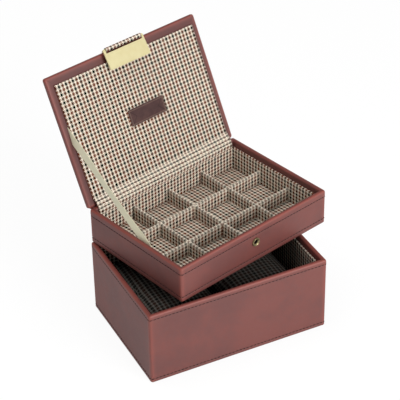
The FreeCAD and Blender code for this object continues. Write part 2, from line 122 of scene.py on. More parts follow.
def ripple(points: Array, size: float, depth: float, seed: int) -> Array:
    """Gentle unevenness: the mean of seven sine waves in seeded directions, as a height at each point.

    Args:
        points: (..., 3) places, in metres.
        size: Rough length of a wave.
        depth: Greatest height.
        seed: Which pattern.

    Returns:
        Heights, of the points' leading shape.
    """
    dice = np.random.default_rng(seed)
    heading = dice.normal(size=(7, 3))
    pace = (2 * math.pi / size) * dice.uniform(0.6, 1.6, (7, 1))
    heading *= pace / np.linalg.norm(heading, axis=1, keepdims=True)
    phase = dice.uniform(0, 2 * math.pi, 7)
    return depth * np.sin(points @ heading.T + phase).mean(axis=-1) * 2


def bell(distance: Array, width: float) -> Array:
    """1 at no distance, falling as a Gaussian of that width."""
    return np.exp(-(distance / width) ** 2)


def unit(vectors: Array) -> Array:
    """The same vectors, 1 long."""
    return vectors / np.linalg.norm(vectors, axis=-1, keepdims=True)


def between(first: float, last: float, share: Array) -> Array:
    """From one number to the other as the share goes from 0 to 1, and level beyond."""
    return first + (last - first) * np.clip(share, 0, 1)


def rounding(edge: float, steps: int) -> tuple[Array, Array]:
    """A quarter circle, as its distances in from the one side and from the other of a square corner."""
    turn = np.linspace(0, math.pi / 2, steps)
    return edge * (1 - np.cos(turn)), edge * (1 - np.sin(turn))


def pairs(first: Values, second: Values) -> Array:
    """(n, 2) points from two rows of numbers, or from a row and one number."""
    return np.stack(np.broadcast_arrays(first, second), axis=1)


def raised(flat: Array, height: float) -> Array:
    """(n, 2) plan vectors as (n, 3) with that third number."""
    return np.column_stack([flat, np.full(len(flat), height)])


def grid(first: Array, second: Array) -> Array:
    """(n, m, 2) places from the n stops of the rows and the m stops of the columns."""
    return np.stack(np.meshgrid(first, second, indexing="ij"), axis=-1)


def lathe(shape: Array, middle: Array) -> Array:
    """Turns a shape about the seat's Y.

    Args:
        shape: (n, 2) radii and places along Y.
        middle: (3,) a point on the axis.

    Returns:
        (49, n, 3) places, x and z being the middle plus the radius times the turn's cosine and sine.
    """
    turn = np.linspace(0, 2 * math.pi, 49)[:, None]
    return np.stack([middle[0] + shape[:, 0] * np.cos(turn), shape[:, 1] + 0 * turn,
                     middle[2] + shape[:, 0] * np.sin(turn)], axis=-1)


def read(items: bpy.types.bpy_prop_collection, name: str, width: int = 3, kind: type = float) -> Array:
    """One property of every vertex, loop or face of a mesh.

    Args:
        items: The mesh's collection.
        name: The property.
        width: How many numbers it has.
        kind: Their type.

    Returns:
        (n, width) numbers.
    """
    values = np.empty(len(items) * width, kind)
    items.foreach_get(name, values)
    return values.reshape(-1, width)


# ---------------------------------------------------------------- seats
@dataclass(frozen=True)
class Seat:
    """A sub-assembly's own square frame, how it lies in the row frame, and the body that it is.

    turn is the rotation and origin the place of the seat's own origin.
    """

    turn: Array
    origin: Array
    body: str

    def place(self, points: Array) -> Array:
        """Points of this seat in the row frame."""
        return points @ self.turn.T + self.origin

    def local(self, points: Array) -> Array:
        """Points of the row frame in this seat."""
        return (points - self.origin) @ self.turn

    def folded(self, pivot: Array, angle: float, body: str) -> "Seat":
        """Seat of the body that is folded about this seat's X.

        Args:
            pivot: A point on the fold, in the row frame.
            angle: How far, in radians.
            body: The folded body.

        Returns:
            Its seat.
        """
        turn = self.turn @ turn_about(X_AXIS, angle)
        return Seat(turn, pivot - turn @ self.local(pivot), body)

    def box(self, node: str) -> tuple[Array, Array]:
        """Lowest and highest corner of a CAD node, measured in this seat."""
        points = self.local(read(frame["nodes"][node].data.vertices, "co"))
        return points.min(axis=0), points.max(axis=0)


def joint(name: str) -> dict:
    """The frame's joint of that name."""
    return next(j for j in frame["joints"] if j["name"] == name)


class Layout:
    """Seats and the main sizes, all read from the frame."""

    def __init__(self) -> None:
        """Works out the seats of the lower box, the tray, the lid and the tab."""
        self.base = Seat(np.eye(3), np.zeros(3), "base_box")
        self.half_x = self.base.box("base_leather_right")[1][0]
        self.half_y = self.base.box("base_leather_back")[1][1]
        self.base_height = self.base.box("base_leather_front")[1][2]
        hinge, bend = joint("lid_hinge"), joint("strap_bend")
        pivot, fold = np.array(hinge["pos_m"]), np.array(bend["pos_m"])
        self.tray_height = pivot[2] - self.base_height
        turn = turn_about(Z_AXIS, math.atan2(hinge["axis"][1], hinge["axis"][0]))
        self.tray = Seat(turn, pivot - turn @ np.array([0, self.half_y, self.tray_height]), "tray")
        self.open_angle = math.radians(hinge["range_deg"][1])
        self.lid = self.tray.folded(pivot, -self.open_angle, "lid")
        self.bend = self.lid.local(fold)
        self.tab = self.lid.folded(fold, math.radians(bend["range_deg"][1]), "tab_strap")


# ---------------------------------------------------------------- meshes from arrays
@dataclass(frozen=True)
class Dress:
    """A finished material, and the record slot of the pieces that wear it."""

    material: bpy.types.Material
    slot: str


class Skin:
    """Grids of points gathered into one mesh, with a cloth map in metres and values of burnish, painted
    highlight and painted shade.

    The attribute rub says how burnished a point is, and on the cloth how much painted highlight lightens it;
    shade says how much painted shade darkens it, and on the leather it also carries the dark mitre seams;
    both 0 to 1.
    """

    def __init__(self, name: str) -> None:
        """Starts an empty mesh of that name."""
        self.name = name
        self._parts: list[tuple[Array, ...]] = []
        self._count = 0

    def add(self, points: Array, cloth: Values = 0.0, rub: Values = 0.0, shade: Values = 0.0) -> None:
        """Adds one grid, or a stack of grids of the same size.

        Args:
            points: (..., n, m, 3) places, in metres.
            cloth: (..., n, m, 2) places on the cloth, in metres.
            rub: (..., n, m) burnish, and painted highlight on the cloth.
            shade: (..., n, m) painted shade, and on the leather the dark mitre seams.
        """
        shape = points.shape[:-1]
        index = self._count + np.arange(np.prod(shape)).reshape(-1, *shape[-2:])
        quads = np.stack([index[:, :-1, :-1], index[:, 1:, :-1], index[:, 1:, 1:], index[:, :-1, 1:]],
                         axis=-1)
        wear_and_painted_light = (np.broadcast_to(value, shape).reshape(-1) for value in (rub, shade))
        self._parts.append((points.reshape(-1, 3), np.broadcast_to(cloth, (*shape, 2)).reshape(-1, 2), *wear_and_painted_light,
                            quads.reshape(-1, 4)))
        self._count += index.size

    def build(self, seat: Seat, dress: Dress, crease: float = 40.0) -> bpy.types.Object:
        """Welds the grids and makes the object, with its place in its mesh and its faces outwards.

        Args:
            seat: Where the points were drawn.
            dress: What it wears.
            crease: Edges sharper than this many degrees stay sharp.

        Returns:
            The object, linked to the scene.
        """
        points, maps, rub, shade, quads = (np.concatenate(part) for part in zip(*self._parts))
        _, first, back = np.unique(np.round(points / WELD).astype(np.int64), axis=0,
                                   return_index=True, return_inverse=True)
        back = back.reshape(-1)
        merged = back[quads]
        kept = merged != np.roll(merged, -1, axis=1)
        four, three = (kept.sum(axis=1) == count for count in (4, 3))
        corners = np.concatenate([quads[four].ravel(), quads[three][kept[three]]])
        sizes = np.repeat([4, 3], [four.sum(), three.sum()])
        mesh = bpy.data.meshes.new(self.name)
        mesh.vertices.add(len(first))
        mesh.vertices.foreach_set("co", seat.place(points[first]).astype(np.float32).ravel())
        mesh.loops.add(len(corners))
        mesh.loops.foreach_set("vertex_index", back[corners].astype(np.int32))
        mesh.polygons.add(len(sizes))
        mesh.polygons.foreach_set("loop_start", (np.cumsum(sizes) - sizes).astype(np.int32))
        mesh.update(calc_edges=True)
        mesh.uv_layers.new(name="cloth").uv.foreach_set("vector", maps[corners].astype(np.float32).ravel())
        for name, values in (("rub", rub), ("shade", shade)):
            layer = mesh.attributes.new(name, "FLOAT", "POINT")
            layer.data.foreach_set("value", values[first].astype(np.float32))
        mesh.validate()
        shell = bmesh.new()
        shell.from_mesh(mesh)
        bmesh.ops.recalc_face_normals(shell, faces=shell.faces)
        shell.to_mesh(mesh)
        shell.free()
        mesh.shade_smooth()
        mesh.set_sharp_from_angle(angle=math.radians(crease))
        mesh.materials.append(dress.material)
        piece = bpy.data.objects.new(self.name, mesh)
        bpy.context.collection.objects.link(piece)
        return piece

    def seated(self, seat: Seat, dress: Dress, nodes: Sequence[str] = (),
               crease: float = 40.0) -> bpy.types.Object:
        """Makes the object and seats it on the seat's body.

        Args:
            seat, dress, crease: As build takes them.
            nodes: The CAD nodes that it stands for.

        Returns:
            The seated object.
        """
        return settle(self.build(seat, dress, crease), seat, nodes)


def settle(piece: bpy.types.Object, seat: Seat, nodes: Sequence[str] = ()) -> bpy.types.Object:
    """Seats a finished piece: the body it rides on and the nodes it stands for."""
    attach(piece, seat.body)
    if nodes:
        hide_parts(*nodes)
    log.info("%s rides on %s with %d faces", piece.name, seat.body, len(piece.data.polygons))
    return piece


def bake(piece: bpy.types.Object, kind: str, **settings: object) -> None:
    """Applies one modifier, with those settings, to a piece."""
    change = piece.modifiers.new(kind, kind)
    for key, value in settings.items():
        setattr(change, key, value)
    mesh = bpy.data.meshes.new_from_object(piece.evaluated_get(bpy.context.evaluated_depsgraph_get()))
    piece.modifiers.clear()
    mesh.name = piece.name
    piece.data = mesh


# ---------------------------------------------------------------- shader expressions
@dataclass(frozen=True)
class Wire:
    """A shader socket for Python arithmetic: each operator, set below, adds a Math node."""

    graph: "Graph"
    socket: bpy.types.NodeSocket


def operator(operation: str, swapped: bool = False) -> Callable[[Wire, "Wire | Number"], Wire]:
    """Operator of Wire that adds a Math node.

    Args:
        operation: The node's operation.
        swapped: Whether the other value comes first.

    Returns:
        The method.
    """
    def act(wire: Wire, other: "Wire | Number") -> Wire:
        return wire.graph.math(operation, *((other, wire) if swapped else (wire, other)))

    return act


for _name, _operation in (("add", "ADD"), ("sub", "SUBTRACT"), ("mul", "MULTIPLY"), ("truediv", "DIVIDE")):
    setattr(Wire, f"__{_name}__", operator(_operation))
    setattr(Wire, f"__r{_name}__", operator(_operation, swapped=True))
Wire.__lt__, Wire.__gt__ = operator("LESS_THAN"), operator("GREATER_THAN")


class Graph:
    """One material's nodes."""

    def __init__(self, name: str) -> None:
        """Starts a material with nothing but its output."""
        self.material = bpy.data.materials.new(name)
        self.material.use_nodes = True
        self.tree = self.material.node_tree
        self.tree.nodes.clear()

    def node(self, kind: str, inputs: Optional[dict] = None, output: int | str = 0,
             **settings: object) -> Wire:
        """Adds a node: its settings first, then the values or links of its sockets.

        Args:
            kind: Node type, without the ShaderNode prefix.
            inputs: Socket name or index to a value or a Wire.
            output: Which output to return.
            settings: Properties to set.

        Returns:
            The output as a Wire.
        """
        made = self.tree.nodes.new("ShaderNode" + kind)
        for key, value in settings.items():
            setattr(made, key, value)
        for key, value in (inputs or {}).items():
            if isinstance(value, Wire):
                self.tree.links.new(value.socket, made.inputs[key])
            else:
                made.inputs[key].default_value = value
        return Wire(self, made.outputs[output])

    def math(self, operation: str, a: Wire | Number, b: Wire | Number = 0.0, clamp: bool = False) -> Wire:
        """One Math node."""
        return self.node("Math", {0: a, 1: b}, operation=operation, use_clamp=clamp)

    def fraction(self, value: Wire) -> Wire:
        """Part after the point."""
        return self.math("FRACT", value)

    def clamp(self, value: Wire) -> Wire:
        """Held between 0 and 1."""
        return self.math("ADD", value, clamp=True)

    def ease(self, value: Wire, low: float, high: float) -> Wire:
        """0 below low and 1 above high, smooth between."""
        return self.node("MapRange", {"Value": value, "From Min": low, "From Max": high},
                         interpolation_type="SMOOTHSTEP")

    def blend(self, share: Wire | Number, first: Wire | tuple, second: Wire | tuple,
              way: str = "MIX") -> Wire:
        """Mix of two colours."""
        return self.node("Mix", {0: share, 6: first, 7: second}, 2, data_type="RGBA", blend_type=way)

    def cloth(self) -> tuple[Wire, Wire, Wire]:
        """Place on the cloth, in metres, and its first and second number."""
        vector = self.node("UVMap", uv_map="cloth")
        outputs = self.node("SeparateXYZ", {0: vector}).socket.node.outputs
        return vector, Wire(self, outputs[0]), Wire(self, outputs[1])

    def places(self) -> Wire:
        """Object coordinates."""
        return self.node("TexCoord", output="Object")

    def attribute(self, name: str) -> Wire:
        """A number stored on the mesh."""
        return self.node("Attribute", output="Fac", attribute_name=name)

    def noise(self, place: Wire, scale: float, detail: float = 3.0, rough: float = 0.5) -> Wire:
        """Noise from 0 to 1 about 0.5."""
        return self.node("TexNoise", {"Vector": place, "Scale": scale, "Detail": detail, "Roughness": rough})

    def streaks(self, place: Wire, scale: tuple[float, float, float], rough: float = 0.5) -> Wire:
        """Noise drawn out by a scale along each axis."""
        return self.noise(self.node("Mapping", {"Vector": place, "Scale": scale}), 1.0, 3, rough)

    def bump(self, height: Wire, distance: float, strength: float, under: Optional[Wire] = None) -> Wire:
        """Normal from a height, laid over the normal under it if there is one."""
        inputs = {"Height": height, "Distance": distance, "Strength": strength}
        return self.node("Bump", inputs if under is None else inputs | {"Normal": under})

    def surface(self, **sockets: "Wire | Number | tuple") -> bpy.types.Material:
        """Closes the graph with one Principled shader.

        Args:
            sockets: Principled sockets, with underscores for spaces.

        Returns:
            The finished material.
        """
        return self.close(self.node("BsdfPrincipled", {k.replace("_", " "): v for k, v in sockets.items()}))

    def close(self, shader: Wire) -> bpy.types.Material:
        """Links a shader to the output and returns the material."""
        output = self.tree.nodes.new("ShaderNodeOutputMaterial")
        self.tree.links.new(shader.socket, output.inputs["Surface"])
        return self.material


# ---------------------------------------------------------------- finishes
@dataclass(frozen=True)
class Leather:
    """Smooth leather: mottled, with pores, lighter where it is rubbed, with painted shade in its stitch
    grooves, inner lips and lid frame, and dark mitre seams.
    """

    name: str
    deep: tuple = linear(97, 41, 35)
    warm: tuple = linear(111, 47, 38)
    rubbed: tuple = linear(142, 58, 42)
    # Colour towards which painted shade and the dark mitre seams blend.
    shade_and_seam_tint: tuple = linear(38, 12, 12)
    roughness: float = 0.6
    shine: float = 0.95
    coat: float = 0.08
    pores: float = 1150.0
    pore_depth: float = 0.035 * MM
    swell_depth: float = 0.35 * MM

    def material(self) -> bpy.types.Material:
        """The node material."""
        g = Graph(self.name)
        at, rub, shade = g.places(), g.attribute("rub"), g.attribute("shade")
        cloud, drift, fleck = g.noise(at, 38, 4, 0.6), g.noise(at, 9, 2), g.noise(at, 260, 3, 0.65)
        tone = g.ease(cloud * 0.6 + drift * 0.4 + (fleck - 0.5) * 0.25, 0.36, 0.64)
        colour = g.blend(tone, self.deep, self.warm)
        worn = g.clamp(rub * (0.62 + fleck * 0.7) - 0.04)
        # Painted shade from the shade attribute: stitch grooves, inner lips and the lid frame; the mitre
        # seams ride on it too.
        colour = g.blend(g.clamp(shade * 0.85), g.blend(worn, colour, self.rubbed), self.shade_and_seam_tint)
        cells = g.node("TexVoronoi", {"Vector": at, "Scale": self.pores}, "Distance",
                       feature="DISTANCE_TO_EDGE")
        grain = g.ease(cells, 0.0, 0.32) * 0.7 + g.noise(at, 2600, 2) * 0.3
        normal = g.bump(grain, self.pore_depth, 0.55, g.bump(cloud + drift, self.swell_depth, 0.5))
        rough = self.roughness + (fleck - 0.5) * 0.16 + (1 - worn) * 0.05 + shade * 0.2
        return g.surface(Base_Color=colour, Roughness=rough, Normal=normal, Specular_IOR_Level=self.shine,
                         Coat_Weight=self.coat, Coat_Roughness=0.4)


@dataclass(frozen=True)
class CheckCloth:
    """Gun-club check woven as a warp-faced twill: cream ground, dark green and rust lines both ways.

    The twill repeats after repeat threads, and warp_share of them shows the warp.
    """

    name: str
    cream: tuple = linear(243, 231, 212)
    green: tuple = linear(5, 18, 12)
    rust: tuple = linear(112, 58, 36)
    soiled: tuple = linear(60, 50, 40)
    # Tint by which painted shade multiplies the cloth.
    shade_and_seam_tint: tuple = linear(44, 52, 62)
    repeat: int = 5
    warp_share: float = 0.6
    pitch_warp: float = 4.02 * MM
    pitch_weft: float = 3.78 * MM
    yarns: int = 6
    stripe: float = 0.29
    wander: float = 0.5 * MM
    yarn_depth: float = 0.12 * MM

    def _yarns(self, g: Graph, along: Wire, pitch: float) -> Wire:
        """Colour of the yarns that run one way, at a distance across them.

        The repeat is a green and a rust line, each about a quarter of it wide, with ground between.
        """
        turn = g.fraction(along / (2 * pitch) + (self.stripe / 2 - 0.125))
        green = turn < self.stripe
        rust = (turn > 0.5) * (turn < 0.5 + self.stripe)
        return g.blend(rust, g.blend(green, self.cream, self.green), self.rust)

    def material(self) -> bpy.types.Material:
        """The node material."""
        g = Graph(self.name)
        at = g.places()
        _, u, v = g.cloth()
        u = u + (g.noise(at, 120, 2) - 0.5) * self.wander
        v = v + (g.noise(at, 90, 2) - 0.5) * self.wander
        thread_u = u * (2 * self.yarns / self.pitch_warp)
        thread_v = v * (2 * self.yarns / self.pitch_weft)
        stair = g.math("FLOOR", thread_u) + g.math("FLOOR", thread_v) + 0.5
        over = g.fraction(stair / self.repeat) < self.warp_share
        colour = g.blend(over, self._yarns(g, v, self.pitch_weft), self._yarns(g, u, self.pitch_warp))
        round_u, round_v = (g.math("SINE", g.fraction(thread) * math.pi) for thread in (thread_u, thread_v))
        height = round_u * over + round_v * (1 - over)
        slub = g.noise(at, 900, 3, 0.7)
        # Painted shade at the edges of each round yarn.
        painted_yarn_shade = g.node("CombineColor", {"Red": height, "Green": height, "Blue": height})
        colour = g.blend(0.18, colour, g.blend(1.0, colour, painted_yarn_shade, "MULTIPLY"))
        colour = g.blend(g.clamp((0.60 - slub) * 0.3), colour, self.soiled)
        # Painted highlight: lighter towards cream on the hinge cloth's ridges and the dividers' tops.
        colour = g.blend(g.clamp(g.attribute("rub") * 0.8), colour, self.cream)
        # Painted shade: darker in the hinge creases and over the lower box's lining and pillows.
        shadow = g.blend(1.0, colour, self.shade_and_seam_tint, "MULTIPLY")
        colour = g.blend(g.clamp(g.attribute("shade")), colour, shadow)
        return g.surface(Base_Color=colour, Roughness=0.9, Specular_IOR_Level=0.12,
                         Normal=g.bump(height * 0.7 + slub * 0.5, self.yarn_depth, 0.6))


@dataclass(frozen=True)
class Satin:
    """Satin ribbon with fine ribs across it and a dimmer edge on each side."""

    name: str
    light: tuple = linear(240, 234, 206)
    dim: tuple = linear(214, 208, 174)
    rib: float = 0.45 * MM
    rib_depth: float = 0.05 * MM
    edge: tuple[float, float] = (4.25 * MM, 4.6 * MM)

    def material(self) -> bpy.types.Material:
        """The node material."""
        g = Graph(self.name)
        cloth, across, along = g.cloth()
        rib = g.math("SINE", along * (2 * math.pi / self.rib))
        slub = g.streaks(cloth, (2600, 160, 1))
        colour = g.blend(g.clamp(slub * 0.8 + rib * 0.05), self.dim, self.light)
        colour = g.blend(g.ease(g.math("ABSOLUTE", across), *self.edge) * 0.35, colour, self.dim)
        return g.surface(Base_Color=colour, Roughness=0.42 + slub * 0.12, Sheen_Weight=0.2,
                         Normal=g.bump(rib * 0.5 + slub, self.rib_depth, 0.5))


@dataclass(frozen=True)
class Brass:
    """Pale brass, brushed along X, with cloudy duller places."""

    name: str
    bright: tuple = linear(228, 219, 173)
    dull: tuple = linear(214, 201, 149)
    roughness: float = 0.34
    metal: float = 0.35
    brush_depth: float = 0.02 * MM

    def material(self) -> bpy.types.Material:
        """The node material."""
        g = Graph(self.name)
        at = g.places()
        brushed, cloud = g.streaks(at, (60, 2600, 2600), 0.6), g.noise(at, 130, 3)
        colour = g.blend(g.clamp(cloud * 1.2 - 0.1), self.bright, self.dull)
        rough = self.roughness + (brushed - 0.5) * 0.22 + (cloud - 0.5) * 0.12
        return g.surface(Base_Color=colour, Metallic=self.metal, Roughness=rough,
                         Normal=g.bump(brushed, self.brush_depth, 0.4))


@dataclass(frozen=True)
class Plain:
    """A fibrous matt finish for felt, board and thread."""

    name: str
    dark: tuple
    light: tuple
    scale: float
    depth: float = 0.08 * MM
    roughness: float = 0.9

    def material(self) -> bpy.types.Material:
        """The node material."""
        g = Graph(self.name)
        at = g.places()
        fibre, cloud = g.noise(at, self.scale, 4, 0.7), g.noise(at, self.scale / 12, 2)
        colour = g.blend(g.ease(fibre * 0.6 + cloud * 0.4, 0.3, 0.7), self.dark, self.light)
        return g.surface(Base_Color=colour, Roughness=self.roughness, Normal=g.bump(fibre, self.depth, 0.6))


class Wardrobe:
    """Every finish, made once, with its record slot."""

    def __init__(self) -> None:
        """Makes the materials."""
        patch = Leather("patch_leather", linear(61, 37, 36), linear(84, 56, 52), linear(120, 96, 84),
                        linear(18, 10, 12), shine=0.3, coat=0.02)
        ring = Brass("snap_brass", linear(172, 158, 118), linear(92, 78, 52), 0.32, 0.7)
        socket = Plain("socket_metal", linear(10, 9, 8), linear(30, 26, 22), 600, roughness=0.5)
        thread = Plain("thread", linear(26, 9, 8), linear(56, 22, 18), 2400)
        board = Plain("board", linear(118, 92, 66), linear(160, 130, 96), 700)
        felt = Plain("felt", linear(30, 18, 15), linear(62, 40, 32), 1500, 0.15 * MM)
        self.leather = Dress(Leather("cover_leather").material(), "cover_leather")
        self.patch = Dress(patch.material(), "patch_leather")
        self.cloth = Dress(CheckCloth("check_cloth").material(), "check_cloth")
        self.satin = Dress(Satin("ribbon_satin").material(), "ribbon")
        self.brass = Dress(Brass("tab_brass").material(), "brass")
        self.ring = Dress(ring.material(), "brass")
        self.socket = Dress(socket.material(), "socket_metal")
        self.thread = Dress(thread.material(), "cover_leather")
        self.board = Dress(board.material(), "board")
        self.felt = Dress(felt.material(), "felt")

    def dress_nodes(self) -> None:
        """Finishes the CAD nodes that keep their own shape, through their objects' own slots."""
        walls = [f"{box}_wall_{side}" for box in ("base", "tray") for side in SIDES]
        for dress, names in ((self.felt, ["base_felt", "tray_felt"]), (self.leather, ["lid_panel_board"]),
                             (self.brass, ["tab_plate", "snap_stud"]), (self.socket, ["tray_snap_cup"]),
                             (self.board, ["base_floor_board", "tray_floor_board", "lid_board", *walls])):
            for place in (place for name in names for place in frame["nodes"][name].material_slots):
                place.link = "OBJECT"
                place.material = dress.material


# ---------------------------------------------------------------- plan curve round a box
class PlanLoop:
    """Rounded rectangle walked anticlockwise, with more stops near its corners."""

    CORNER_REACH = 1.3 * MM       # how far along its sides a corner counts
    MITRE_WIDTH = 0.25 * MM
    WAVE_SIZE = 30 * MM
    WAVE_SEED = 8

    def __init__(self, half_x: float, half_y: float, arc_steps: int = 7, run_steps: int = 22) -> None:
        """Prepares the stops.

        Args:
            half_x, half_y: Half sizes of the outer rectangle.
            arc_steps: Stops on a corner's arc.
            run_steps: Stops on a straight side.
        """
        self.half = np.array([half_x, half_y])
        signs = np.array([[1, -1], [1, 1], [-1, 1], [-1, -1]])
        share = 0.5 - 0.5 * np.cos(np.linspace(0, math.pi, run_steps)[1:-1])
        stops = []
        for k in range(4):
            angles = np.linspace(k - 1, k, arc_steps) * math.pi / 2
            heading = np.stack([np.cos(angles), np.sin(angles)], axis=1)
            corner = np.broadcast_to(signs[k], heading.shape)
            stops.append(np.hstack([corner, heading, corner, heading, np.zeros((arc_steps, 1))]))
            out = np.broadcast_to(heading[-1], (len(share), 2))
            here, there = (np.broadcast_to(signs[j], out.shape) for j in (k, (k + 1) % 4))
            stops.append(np.hstack([here, out, there, out, share[:, None]]))
        walk = np.vstack(stops)
        self.walk = np.vstack([walk, walk[:1]])

    def at(self, inward: Array, radius: Array) -> Array:
        """Places on the loop for each distance inwards and corner radius.

        A stop is a corner's centre plus the radius along its heading, or on a straight side the
        mix of the two ends by its share.

        Args:
            inward: (t,) distances in from the outer rectangle.
            radius: (t,) corner radii there.

        Returns:
            (stops, t, 2) places.
        """
        room = self.half[None, :] - (inward + radius)[:, None]

        def end(corner: Array, heading: Array) -> Array:
            return corner[:, None, :] * room[None] + heading[:, None, :] * radius[None, :, None]

        a = end(self.walk[:, 0:2], self.walk[:, 2:4])
        b = end(self.walk[:, 4:6], self.walk[:, 6:8])
        share = self.walk[:, 8][:, None, None]
        return a * (1 - share) + b * share

    def carry(self, inward: Array, radius: Array, height: Array) -> Array:
        """Places of a whole profile carried round the loop.

        Args:
            inward, radius: As at takes them.
            height: (t,) heights.

        Returns:
            (stops, t, 3) places.
        """
        plan = self.at(inward, radius)
        return np.concatenate([plan, np.broadcast_to(height[:, None], (*plan.shape[:2], 1))], axis=2)

    def corner_nearness(self) -> Array:
        """1 at a corner, falling along the sides, (stops, 1)."""
        share = self.walk[:, 8]
        side = np.linalg.norm((self.walk[:, 0:2] - self.walk[:, 4:6]) * self.half, axis=1)
        return bell(np.minimum(share, 1 - share) * side, self.CORNER_REACH)[:, None]

    def wear_and_painted_light(self, points: Array, rub: Array, shade: Array, edge: Array, seam: Array) -> tuple[Array, Array]:
        """Burnish and painted shade of leather carried round this loop, adding rubbed corners and dark mitre
        seams.

        A mitre lies where a point is as far from one side as from the next.

        Args:
            points: (stops, t, 3) places.
            rub, shade: (t,) burnish and painted shade of the profile.
            edge: (t,) how far its corners are rubbed.
            seam: (t,) where its mitres show.

        Returns:
            rub and shade, each (stops, t).
        """
        gap = np.abs(self.half - np.abs(points[..., :2]))
        mitre = 0.8 * bell(gap[..., 0] - gap[..., 1], self.MITRE_WIDTH) * seam
        return 1 - (1 - rub) * (1 - 0.5 * self.corner_nearness() * edge), np.maximum(shade, mitre)

    def shell(self, name: str, inward: Array, height: Array, radius: Array, rub: Array, shade: Array,
              wave: float = 0.0) -> Skin:
        """Leather whose profile is carried round until it closes on the middle line.

        Where the profile steps from one skin to another on that line, the two are added apart.

        Args:
            name: The skin's name.
            inward, height, radius, rub, shade: The profile, each (t,).
            wave: Depth of its unevenness.

        Returns:
            The skin.
        """
        points = self.carry(inward, radius, height)
        points[..., 2] += ripple(points, self.WAVE_SIZE, wave, self.WAVE_SEED)
        seam = (height < height.min() + 0.05 * MM) * (inward < 13 * MM)
        worn, dark = self.wear_and_painted_light(points, rub, shade, inward < 1.2 * MM, seam)
        steps = np.flatnonzero((inward[1:] == inward[:-1]) & (inward[1:] >= self.half[1])) + 1
        skin = Skin(name)
        for part in np.split(np.arange(len(inward)), steps):
            skin.add(points[:, part], points[:, part, :2], worn[:, part], dark[:, part])
        return skin

    def evenly(self, spacing: float, radius: float) -> tuple[Array, Array, Array]:
        """Places at even spacing round the outer loop, with their headings along and outwards.

        Args:
            spacing: About how far apart.
            radius: The loop's corner radius.

        Returns:
            Places, headings along and headings outwards, each (n, 2).
        """
        line = self.at(np.zeros(1), np.array([radius]))[:, 0]
        walked = run_length(line)
        count = int(round(walked[-1] / spacing))
        reach = (np.arange(count) + 0.5) * walked[-1] / count
        place, ahead = (np.stack([np.interp(stops, walked, line[:, i]) for i in range(2)], axis=1)
                        for stops in (reach, reach + spacing / 4))
        along = unit(ahead - place)
        return place, along, np.stack([along[:, 1], -along[:, 0]], axis=1)


@dataclass(frozen=True)
class StitchRow:
    """Small sewn stitches: a tapered, arched thread, repeated along a pressed groove."""

    length: float = 3.0 * MM
    thickness: float = 0.29 * MM
    arch: float = 0.14 * MM
    slant: float = 0.05
    pitch: float = 3.7 * MM
    groove: float = 0.28 * MM
    groove_width: float = 0.55 * MM
    groove_reach: float = 1.4 * MM
    seat: float = 0.21 * MM

    def stops(self, at: float) -> Array:
        """Profile stops round a row, close enough for its groove."""
        return at + np.linspace(-self.groove_reach, self.groove_reach, 9)

    def pressed(self, distance: Array) -> Array:
        """Depth of the groove: a Gaussian of the distance from the row."""
        return self.groove * bell(distance, self.groove_width)

    def sew(self, skin: Skin, place: Array, along: Array, outward: Array) -> None:
        """Adds a stitch at each place: X along it, Y across, Z out of the leather.

        Its radius falls to nothing at the ends as the root of 1 minus the fourth power, and its
        middle line arches as a parabola.

        Args:
            skin: Where to add them.
            place, along, outward: (n, 3) places, headings and normals.
        """
        a = np.linspace(-1, 1, 6)[:, None]
        turn = np.linspace(0, 2 * math.pi, 7)[None, :]
        thick = self.thickness * np.sqrt(np.clip(1 - a ** 4, 0, 1))
        x = a * self.length / 2 + 0 * turn
        y = thick * np.cos(turn) + self.slant * x
        z = thick * np.sin(turn) + self.arch * (1 - 1.7 * a ** 2)
        axes = (along, np.cross(outward, along), outward)
        skin.add(place[:, None, None, :] + sum(shape[None, ..., None] * axis[:, None, None, :]
                                               for shape, axis in zip((x, y, z), axes)))


